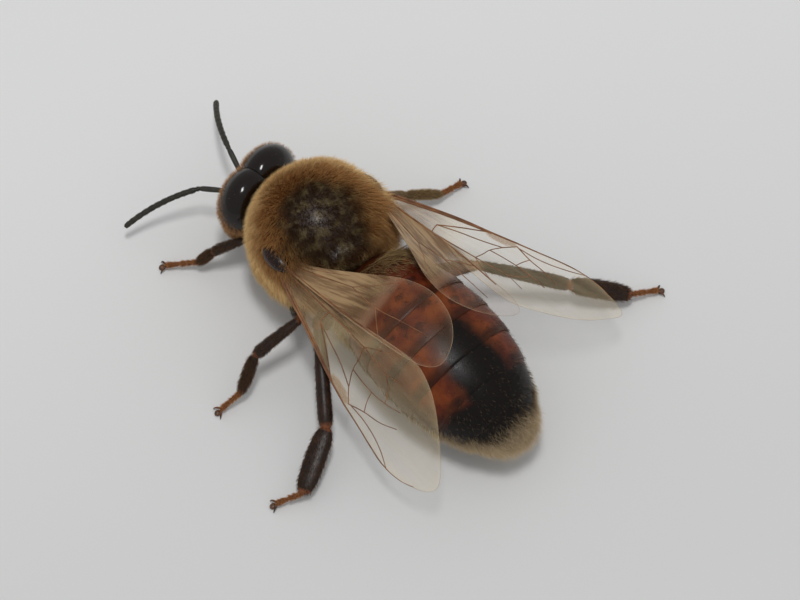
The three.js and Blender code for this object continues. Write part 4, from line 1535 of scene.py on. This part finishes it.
@dataclass
class Wing:
    """One wing: a thin membrane in its plane, its veins and its margin."""

    name: str
    side: Side
    root: Point
    apex: Point
    hem: Point
    leading: tuple
    trailing: tuple
    veins: tuple
    folded: float = 4.5
    thickness: float = 0.014
    grid: tuple = (120, 36)
    stretch: int = 12
    rim: tuple = (0.0065, 0.004)
    bare: tuple = (60, 50)
    rim_step: int = 4
    stigma: Point = (5.6, -0.84, 0.03)
    stigma_half: tuple = (0.68, 0.26)
    frame: Matrix = field(init=False)
    span: float = field(init=False)

    def __post_init__(self) -> None:
        """Works out the wing's plane from its root, apex and hem."""
        root, apex, hem = Vector(self.root), Vector(self.apex), Vector(self.hem)
        out = (apex - root).normalized()
        chord = (hem - root - out * (hem - root).dot(out)).normalized()
        turn = Matrix((out, chord, out.cross(chord))).transposed().to_4x4()
        self.frame = Matrix.Translation(root) @ turn
        self.span = self.trailing[0][0]

    @property
    def label(self) -> str:
        """The wing's name with its side."""
        return f"{self.name}_{self.side.word}"

    def relief(self, s: Rows, t: Rows) -> Rows:
        """Height of the folds that run out along the wing."""
        fade = np.exp(-np.asarray(s) / 7)
        return 0.06 * np.sin(2.6 * t + 0.25 * s) * fade + 0.03 * np.sin(1.1 * s - 1.7 * t)

    def outline(self) -> tuple[Rows, Rows]:
        """The edges in front and behind, both from the root to the apex, as evenly spaced points."""
        knots = np.array([*self.leading, *self.trailing], float)
        padded = np.concatenate([knots[:1], knots, knots[-1:]])
        t = np.linspace(0, 1, self.stretch + 1)[:-1, None]
        curve = []
        for before, start, end, after in zip(padded, padded[1:], padded[2:], padded[3:]):
            leave, arrive = (end - before) / 2, (after - start) / 2
            curve.append((2 * start - 2 * end + leave + arrive) * t ** 3
                         + (3 * end - 3 * start - 2 * leave - arrive) * t ** 2 + leave * t + start)
        line = np.concatenate([*curve, knots[-1:]])
        tip = self.stretch * len(self.leading)
        return self.even(line[:tip + 1]), self.even(line[tip:][::-1])

    @staticmethod
    def even(line: Rows, count: int = 160) -> Rows:
        """A line with its points evenly spaced."""
        run = np.r_[0, np.cumsum(np.linalg.norm(np.diff(line, axis=0), axis=1))]
        steps = np.linspace(0, run[-1], count)
        return np.stack([np.interp(steps, run, column) for column in line.T], axis=1)

    def build(self) -> None:
        """Builds the membrane and then the veins with the margin."""
        self.build_membrane()
        self.build_veins()

    def build_membrane(self) -> None:
        """A fine grid stretched between both edges, with folds, closed to a thin sheet."""
        front, back = self.outline()
        along, across = self.grid
        bpy.ops.mesh.primitive_grid_add(x_subdivisions=along, y_subdivisions=across, size=1.0)
        sheet = Bench.fresh(f"{self.label}_membrane")
        grid = Bench.points(sheet)[:, :2] + 0.5
        row = grid[:, 0] * (len(front) - 1)
        lead, trail = (np.stack([np.interp(row, np.arange(len(edge)), column) for column in edge.T], axis=1)
                       for edge in (front, back))
        flat = lead + (trail - lead) * grid[:, 1:2]
        Bench.reshape(sheet, np.column_stack([flat, self.relief(flat[:, 0], flat[:, 1])]))
        Bench.mark(sheet, "span", flat[:, 0] / self.span)
        Bench.mark(sheet, "rim", np.maximum(np.abs(2 * grid[:, 1] - 1), grid[:, 0] ** 2))
        fore = np.full(len(flat), float(self.name == "forewing"))
        Bench.mark(sheet, "stigma", self.stain(flat) * fore)
        Bench.mark(sheet, "base", self.cloud(flat))
        Bench.mark(sheet, "haze", fore)
        lay = np.column_stack([0.12 * flat[:, 0], flat[:, 1] - 0.24 * flat[:, 0], 0 * flat[:, 0]])
        sheet.data.attributes.new("lay", "FLOAT_VECTOR", "POINT").data.foreach_set("vector", lay.ravel())
        with Bench.editing(sheet):
            bpy.ops.mesh.remove_doubles(threshold=0.002)
        Bench.modify(sheet, "SOLIDIFY", thickness=self.thickness, offset=0.0)
        Bench.place(sheet, self.frame)
        hand_over(Bench.settle(sheet), Wardrobe.MEMBRANE, "membrane", [self.label])

    def stain(self, flat: Rows) -> Rows:
        """The amber cell under the leading edge: 1 within it, 0 outside."""
        along, across, slope = self.stigma
        ahead = flat[:, 0] - along
        aside = flat[:, 1] - across + slope * ahead
        away = np.hypot(ahead / self.stigma_half[0], aside / self.stigma_half[1])
        return np.clip((1.12 - away) * 5, 0, 1)

    def cloud(self, flat: Rows) -> Rows:
        """How far folds cloud the skin: 1 near the root, 0 from mid wing, less towards a forewing's front."""
        if self.name == "hindwing":
            return np.clip((self.folded - flat[:, 0]) / 1.5, 0, 1)
        behind = flat[:, 1] - 0.05 - 0.24 * flat[:, 0]
        across = np.clip(behind / 0.3 + 0.5, 0, 1) * np.clip((1.3 - behind) / 0.9, 0, 1)
        front = 0.46 * np.clip((4.4 - flat[:, 0]) / 2.0, 0, 1)
        return np.maximum(np.clip((5.6 - flat[:, 0]) / 2.6, 0, 1) * across, front)

    def build_veins(self) -> None:
        """Tapered tubes along every vein, and a hair-thin cord round the margin."""
        front, back = self.outline()
        veins = [self.tube(f"vein_{index}", np.array(vein.way), vein.start, vein.end)
                 for index, vein in enumerate(self.veins)]
        veins = Bench.place(Bench.join(f"{self.label}_veins", veins), self.frame)
        hand_over(Bench.settle(veins), Wardrobe.VEIN, "membrane")
        margin = np.concatenate([front[self.bare[0]::self.rim_step], back[:self.bare[1]:-self.rim_step]])
        rim = Bench.place(self.tube(f"{self.label}_rim", margin, *self.rim), self.frame)
        hand_over(Bench.settle(rim), Wardrobe.RIM, "membrane")

    def tube(self, name: str, way: Rows, start: float, end: float) -> Piece:
        """A round tube through points on the wing.

        Args:
            name: Its name.
            way: The points, along and across the wing.
            start: Its radius at the first point.
            end: Its radius at the last.

        Returns:
            The tube as a mesh.
        """
        bpy.ops.curve.primitive_bezier_curve_add(location=(0, 0, 0))
        curve = Bench.fresh(name)
        curve.data.splines.clear()
        spline = curve.data.splines.new("BEZIER")
        spline.bezier_points.add(len(way) - 1)
        heights = self.relief(way[:, 0], way[:, 1])
        for index, (knot, (s, t), height) in enumerate(zip(spline.bezier_points, way, heights)):
            knot.co = (s, t, height)
            knot.handle_left_type = knot.handle_right_type = "AUTO"
            knot.radius = start + (end - start) * index / (len(way) - 1)
        curve.data.bevel_depth = 1.0
        curve.data.bevel_resolution = 2
        curve.data.resolution_u = 5
        curve.data.use_fill_caps = True
        Bench.take(curve)
        bpy.ops.object.convert(target="MESH")
        return Bench.fresh(name)


FORE_LEADING = ((0, -0.2), (2.6, -0.6), (5.1, -0.95), (7.2, -1.08), (9.1, -1.1), (10.6, -0.45))
FORE_TRAILING = ((11.25, 0.4), (10.4, 1.38), (9.15, 2.22), (8, 2.7), (6.9, 2.82), (5.4, 2.25), (3, 1.1),
                 (0, 0.25))
HIND_LEADING = ((0, -0.2), (3.6, -0.35), (6.4, -0.3), (7.5, -0.1))
HIND_TRAILING = ((7.95, 0.4), (7.7, 1.3), (6.95, 2.05), (5.8, 2.4), (4.5, 2.2), (3, 1.5), (1.2, 0.6),
                 (0, 0.25))
FORE = (FORE_LEADING, FORE_TRAILING, FORE_VEINS)
HIND = (HIND_LEADING, HIND_TRAILING, HIND_VEINS)
WINGS = (
    Wing("forewing", Side.LEFT, (2.5, 0.4, 4.55), (4.35, 11.2, 2.1), (2.05, 8.2, 4.9), *FORE),
    Wing("forewing", Side.RIGHT, (-2.5, 0.4, 4.55), (-7.0, 10.35, 2.15), (-4.35, 9.5, 3.6), *FORE),
    Wing("hindwing", Side.LEFT, (2.4, 0.9, 4.85), (1.7, 8.8, 5.55), (-0.3, 7.0, 6.2), *HIND),
    Wing("hindwing", Side.RIGHT, (-2.4, 0.9, 4.85), (-2.95, 8.6, 4.9), (-0.45, 6.6, 6.2), *HIND, 5.3),
)


# ---------------------------------------------------------------- legs


@dataclass(frozen=True)
class LegShape:
    """Half breadths of a leg's joints; the basitarsus has a breadth and a thickness."""

    coxa: float
    femur: float
    tibia: float
    basitarsus: tuple
    tarsus: float = 0.115


@dataclass(frozen=True)
class Stance:
    """Where one leg bends, from the body to the claws."""

    name: str
    shape: LegShape
    coxa: Point
    trochanter: Point
    knee: Point
    ankle: Point
    heel: Point
    toe: Point
    shell: Wardrobe = Wardrobe.LEG
    hair: Wardrobe = Wardrobe.BROWN


FORE_LEG = LegShape(0.38, 0.31, 0.225, (0.2, 0.17))
MIDDLE_LEG = LegShape(0.42, 0.33, 0.27, (0.24, 0.17))
SLENDER_LEG = LegShape(0.42, 0.3, 0.2, (0.2, 0.16))
HIND_LEG = LegShape(0.46, 0.37, 0.32, (0.45, 0.2))
STANCES = (
    Stance("left_fore", FORE_LEG, (0.75, -1.6, 1.85), (1.15, -2.0, 0.85), (1.72, -2.3, 2.2),
           (2.81, -3.23, 1.3), (3.24, -3.61, 0.55), (4.2, -4.54, 0.25)),
    Stance("right_fore", FORE_LEG, (-0.75, -1.6, 1.85), (-0.95, -2.2, 0.85), (-1.25, -3.1, 1.95),
           (-1.85, -4.3, 1.05), (-2.0, -4.75, 0.5), (-2.35, -5.75, 0.25)),
    Stance("left_middle", MIDDLE_LEG, (0.85, 0.0, 1.7), (1.6, 0.5, 0.85), (3.02, 2.23, 2.87),
           (4.99, 1.75, 1.78), (6.14, 2.16, 0.75), (7.05, 1.98, 0.25)),
    Stance("right_middle", SLENDER_LEG, (-0.85, 0.0, 1.7), (-1.6, 0.25, 0.85), (-3.2, 0.02, 2.7),
           (-4.81, 0.0, 1.1), (-6.16, 0.71, 0.55), (-7.22, 0.75, 0.25),
           Wardrobe.PALE_LEG, Wardrobe.STRAW),
    Stance("left_hind", HIND_LEG, (0.8, 1.5, 1.8), (1.5, 2.1, 0.9), (2.68, 3.0, 2.95),
           (5.05, 6.0, 1.45), (7.35, 7.15, 0.55), (8.3, 6.66, 0.25)),
    Stance("right_hind", HIND_LEG, (-0.8, 1.5, 1.8), (-1.65, 2.7, 1.05), (-3.97, 5.12, 2.72),
           (-6.64, 7.77, 1.36), (-8.48, 9.44, 0.6), (-9.55, 9.9, 0.25)),
)
FEMUR = ((-0.05, 0.3), (0.0, 0.62), (0.14, 0.88), (0.36, 1.0), (0.68, 0.9), (0.9, 0.7), (0.99, 0.56),
         (1.04, 0.3))
TIBIA = ((-0.04, 0.3), (0.0, 0.6), (0.12, 0.74), (0.5, 0.88), (0.85, 1.0), (0.96, 0.9), (1.02, 0.45))
BASITARSUS = ((-0.03, 0.25), (0.01, 0.6), (0.12, 0.9), (0.4, 1.0), (0.8, 0.96), (0.97, 0.68), (1.02, 0.3))
CUP = ((-0.04, 0.35), (0.05, 0.55), (0.6, 0.9), (0.92, 1.0), (1.0, 0.6))


@dataclass
class Leg:
    """One leg: five pieces of shell with a pad and two claws, and its bristles."""

    stance: Stance
    bend: float = 0.08
    bristle: Growth = Growth(0.15, 0.0065, 34, 26, 14)
    bristles: tuple = (500, 900, 1100, 1500, 900)
    bristle_scales: tuple = (1.3, 0.9, 0.85, 1.15, 0.8)
    pad_half: Point = (0.15, 0.13, 0.085)

    def build(self, draw: Draw) -> None:
        """Builds every joint, then the bristles on all of them."""
        stance, shape = self.stance, self.stance.shape
        names = ("coxa", "trochanter", "knee", "ankle", "heel", "toe")
        places = [Vector(getattr(stance, name)) for name in names]
        broad, thin = shape.basitarsus
        plans = (
            ("coxa", FEMUR, shape.coxa, shape.coxa, 0.0),
            ("femur", FEMUR, shape.femur, shape.femur, self.bend),
            ("tibia", TIBIA, shape.tibia, 0.82 * shape.tibia, self.bend / 2),
            ("basitarsus", BASITARSUS, broad, thin, 0.0),
        )
        groups = []
        for index, (name, profile, breadth, thickness, bow) in enumerate(plans):
            start, end = places[index], places[index + 1]
            rings = [Ring(share, breadth * width, thickness * width, bow * math.sin(math.pi * max(share, 0)))
                     for share, width in profile]
            joint = Bench.turned(f"leg_{stance.name}_{name}", rings, (end - start).length, 14)
            Bench.stand(Bench.smooth(joint, 2), start, end, UP)
            groups.append(self.bristle_roots(joint, start, end, index, draw))
            hand_over(Bench.settle(joint), stance.shell, "leg", [f"{name}_{stance.name}"])
        groups.append(self.build_foot(places[4], places[5], draw))
        self.grow_bristles(groups, draw)

    def build_foot(self, heel: Vector, toe: Vector, draw: Draw) -> Roots:
        """Three short cups, a longer last joint, a sole pad and a pair of hooked claws.

        Args:
            heel: Where it starts.
            toe: Where it ends.
            draw: The random numbers.

        Returns:
            Where its bristles grow.
        """
        name, radius = self.stance.name, self.stance.shape.tarsus
        way, joints = toe - heel, []
        for start, end in ((0.0, 0.2), (0.18, 0.37), (0.35, 0.54), (0.52, 1.0)):
            first, last = heel + way * start, heel + way * end
            rings = [Ring(share, radius * width, 0.85 * radius * width) for share, width in CUP]
            cup = Bench.turned("cup", rings, (last - first).length, 10)
            joints.append(Bench.stand(Bench.smooth(cup, 2), first, last, UP))
        foot = Bench.join(f"leg_{name}_tarsus", joints)
        roots = self.bristle_roots(foot, heel, toe, 4, draw)
        hand_over(Bench.settle(foot), Wardrobe.FOOT, "foot", [f"tarsus_{name}"])
        ahead = Vector((way.x, way.y, 0)).normalized()
        pad = Bench.ball(f"leg_{name}_pad", (0, 0, 0), self.pad_half)
        Bench.place(pad, Matrix.Translation(Vector((toe.x, toe.y, self.pad_half[2])) + ahead * 0.17))
        hand_over(Bench.settle(pad), Wardrobe.PAD, "foot")
        across = Vector((-ahead.y, ahead.x, 0))
        claws = []
        for side in Side:
            start = toe + ahead * 0.02 + across * side.value * 0.05
            tip = Vector((toe.x, toe.y, 0.03)) + ahead * 0.24 + across * side.value * 0.3
            hook = [Ring(-0.05, 0.03), Ring(0.0, 0.055, 0.055, 0.0), Ring(0.35, 0.045, 0.045, 0.07),
                    Ring(0.7, 0.032, 0.032, 0.06), Ring(1.0, 0.012, 0.012, -0.03)]
            claw = Bench.smooth(Bench.turned("claw", hook, (tip - start).length, 8), 1)
            claws.append(Bench.stand(claw, start, tip, UP))
        hand_over(Bench.settle(Bench.join(f"leg_{name}_claws", claws)), Wardrobe.CLAW, "foot")
        return roots

    def bristle_roots(self, joint: Piece, start: Vector, end: Vector, index: int,
                      draw: Draw) -> Roots:
        """Where one joint's bristles grow, towards the claws; each joint has its own strip of the map.

        Args:
            joint: The joint's mesh.
            start: Where it starts.
            end: Where it ends.
            index: Its number from the body.
            draw: The random numbers.

        Returns:
            The roots, with the joint's number in place of their wear.
        """
        points, normals = scatter(joint, self.bristles[index], draw)
        axis = np.array((end - start).normalized())
        share = np.clip((points - np.array(start)) @ axis / (end - start).length, 0, 1)
        lie = along_skin(normals, axis)
        turn = np.arctan2(normals @ np.cross(axis, [0, 0, 1.0]), normals[:, 2]) / (2 * math.pi) + 0.5
        patch = np.stack([(index + 0.02 + 0.96 * turn) / 5, share], axis=1)
        scale = np.full(len(points), self.bristle_scales[index])
        return Roots(points, normals, lie, patch, scale, np.full(len(points), float(index)))

    def grow_bristles(self, groups: Sequence[Roots], draw: Draw) -> None:
        """Brown bristles on the leg, rusty ones on the foot."""
        roots = Roots.together(groups)
        low = roots.worn >= 4
        roots.worn[:] = 0
        name, growth = self.stance.name, self.bristle
        Coat(f"leg_{name}_hair", growth, self.stance.hair, "leg").grow(roots.only(~low), draw)
        Coat(f"leg_{name}_brush", growth, Wardrobe.RUST, "foot").grow(roots.only(low), draw)


# ---------------------------------------------------------------- studio


@dataclass
class Studio:
    """The pale floor, the soft light and the camera."""

    azimuth: float = 137.0
    elevation: float = 59.0
    distance: float = 200.0
    lens: float = 225.0
    target: Point = (-0.28093, 2.40579, 2.0)
    floor_size: float = 2.0
    key_height: float = 0.4
    key_tilt: float = 8.0
    key_size: tuple = (0.05, 0.09)
    key_power: float = 0.54
    sky: Colour = paint(229, 230, 231)
    sky_strength: float = 0.59

    def build(self) -> None:
        """Builds all three."""
        self.build_floor()
        self.build_light()
        self.build_camera()

    def build_floor(self) -> None:
        """One wide sheet of pale paper at height 0."""
        bpy.ops.mesh.primitive_plane_add(size=self.floor_size, location=(0, 0, 0))
        floor = Bench.fresh("studio_floor")
        Wardrobe.FLOOR.wear(floor)
        floor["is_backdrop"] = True

    def build_light(self) -> None:
        """A broad lamp overhead, leant a little towards the camera, in an even pale surround."""
        turn, lean = math.radians(self.azimuth), self.key_height * math.tan(math.radians(self.key_tilt))
        place = Vector((math.sin(turn) * lean, -math.cos(turn) * lean, self.key_height))
        bpy.ops.object.light_add(type="AREA", location=place)
        lamp = bpy.context.object
        lamp.name = "key_lamp"
        lamp.data.shape = "RECTANGLE"
        lamp.data.size, lamp.data.size_y = self.key_size
        lamp.rotation_mode = "QUATERNION"
        lamp.rotation_quaternion = (-place).to_track_quat("-Z", "Y")
        lamp.data.energy = self.key_power
        world = bpy.data.worlds.new("studio_surround")
        bpy.context.scene.world = world
        world.use_nodes = True
        background = world.node_tree.nodes["Background"]
        background.inputs["Color"].default_value = (*self.sky, 1.0)
        background.inputs["Strength"].default_value = self.sky_strength

    def build_camera(self) -> None:
        """A long lens that looks down over the bee's left shoulder from behind."""
        turn, tilt = math.radians(self.azimuth), math.radians(self.elevation)
        back = Vector((math.sin(turn) * math.cos(tilt), -math.cos(turn) * math.cos(tilt), math.sin(tilt)))
        bpy.ops.object.camera_add(location=(Vector(self.target) + back * self.distance) * MM)
        camera = bpy.context.object
        camera.name = "bee_camera"
        camera.rotation_mode = "QUATERNION"
        camera.rotation_quaternion = (-back).to_track_quat("-Z", "Y")
        camera.data.lens = self.lens
        camera.data.clip_start, camera.data.clip_end = 0.01, 10.0
        bpy.context.scene.camera = camera
        bpy.context.scene.view_settings.view_transform = "Standard"


def main() -> None:
    """Loads the frame, builds the bee round it and works out how large both are."""
    logging.basicConfig(level=logging.INFO, format="%(message)s")
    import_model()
    frame_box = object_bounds()
    thorax = Thorax()
    low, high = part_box("scutellum")
    Bench.origin = (low + high) / 2 / MM - Vector(thorax.scutellum_centre)
    Bench.origin.z = 0.0
    LOG.info("the bee's frame lies at %s mm in the row frame", tuple(round(x, 4) for x in Bench.origin))
    draw = np.random.default_rng(SEED)
    Head().build(draw)
    Feelers().build(draw)
    thorax.build(draw)
    Abdomen().build(draw)
    for wing in WINGS:
        wing.build()
    for stance in STANCES:
        Leg(stance).build(draw)
    Studio().build()
    boxes = {"frame": frame_box, "model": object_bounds()}
    {name: [list(corner) for corner in box] for name, box in boxes.items()}


if __name__ == "__main__":
    main()
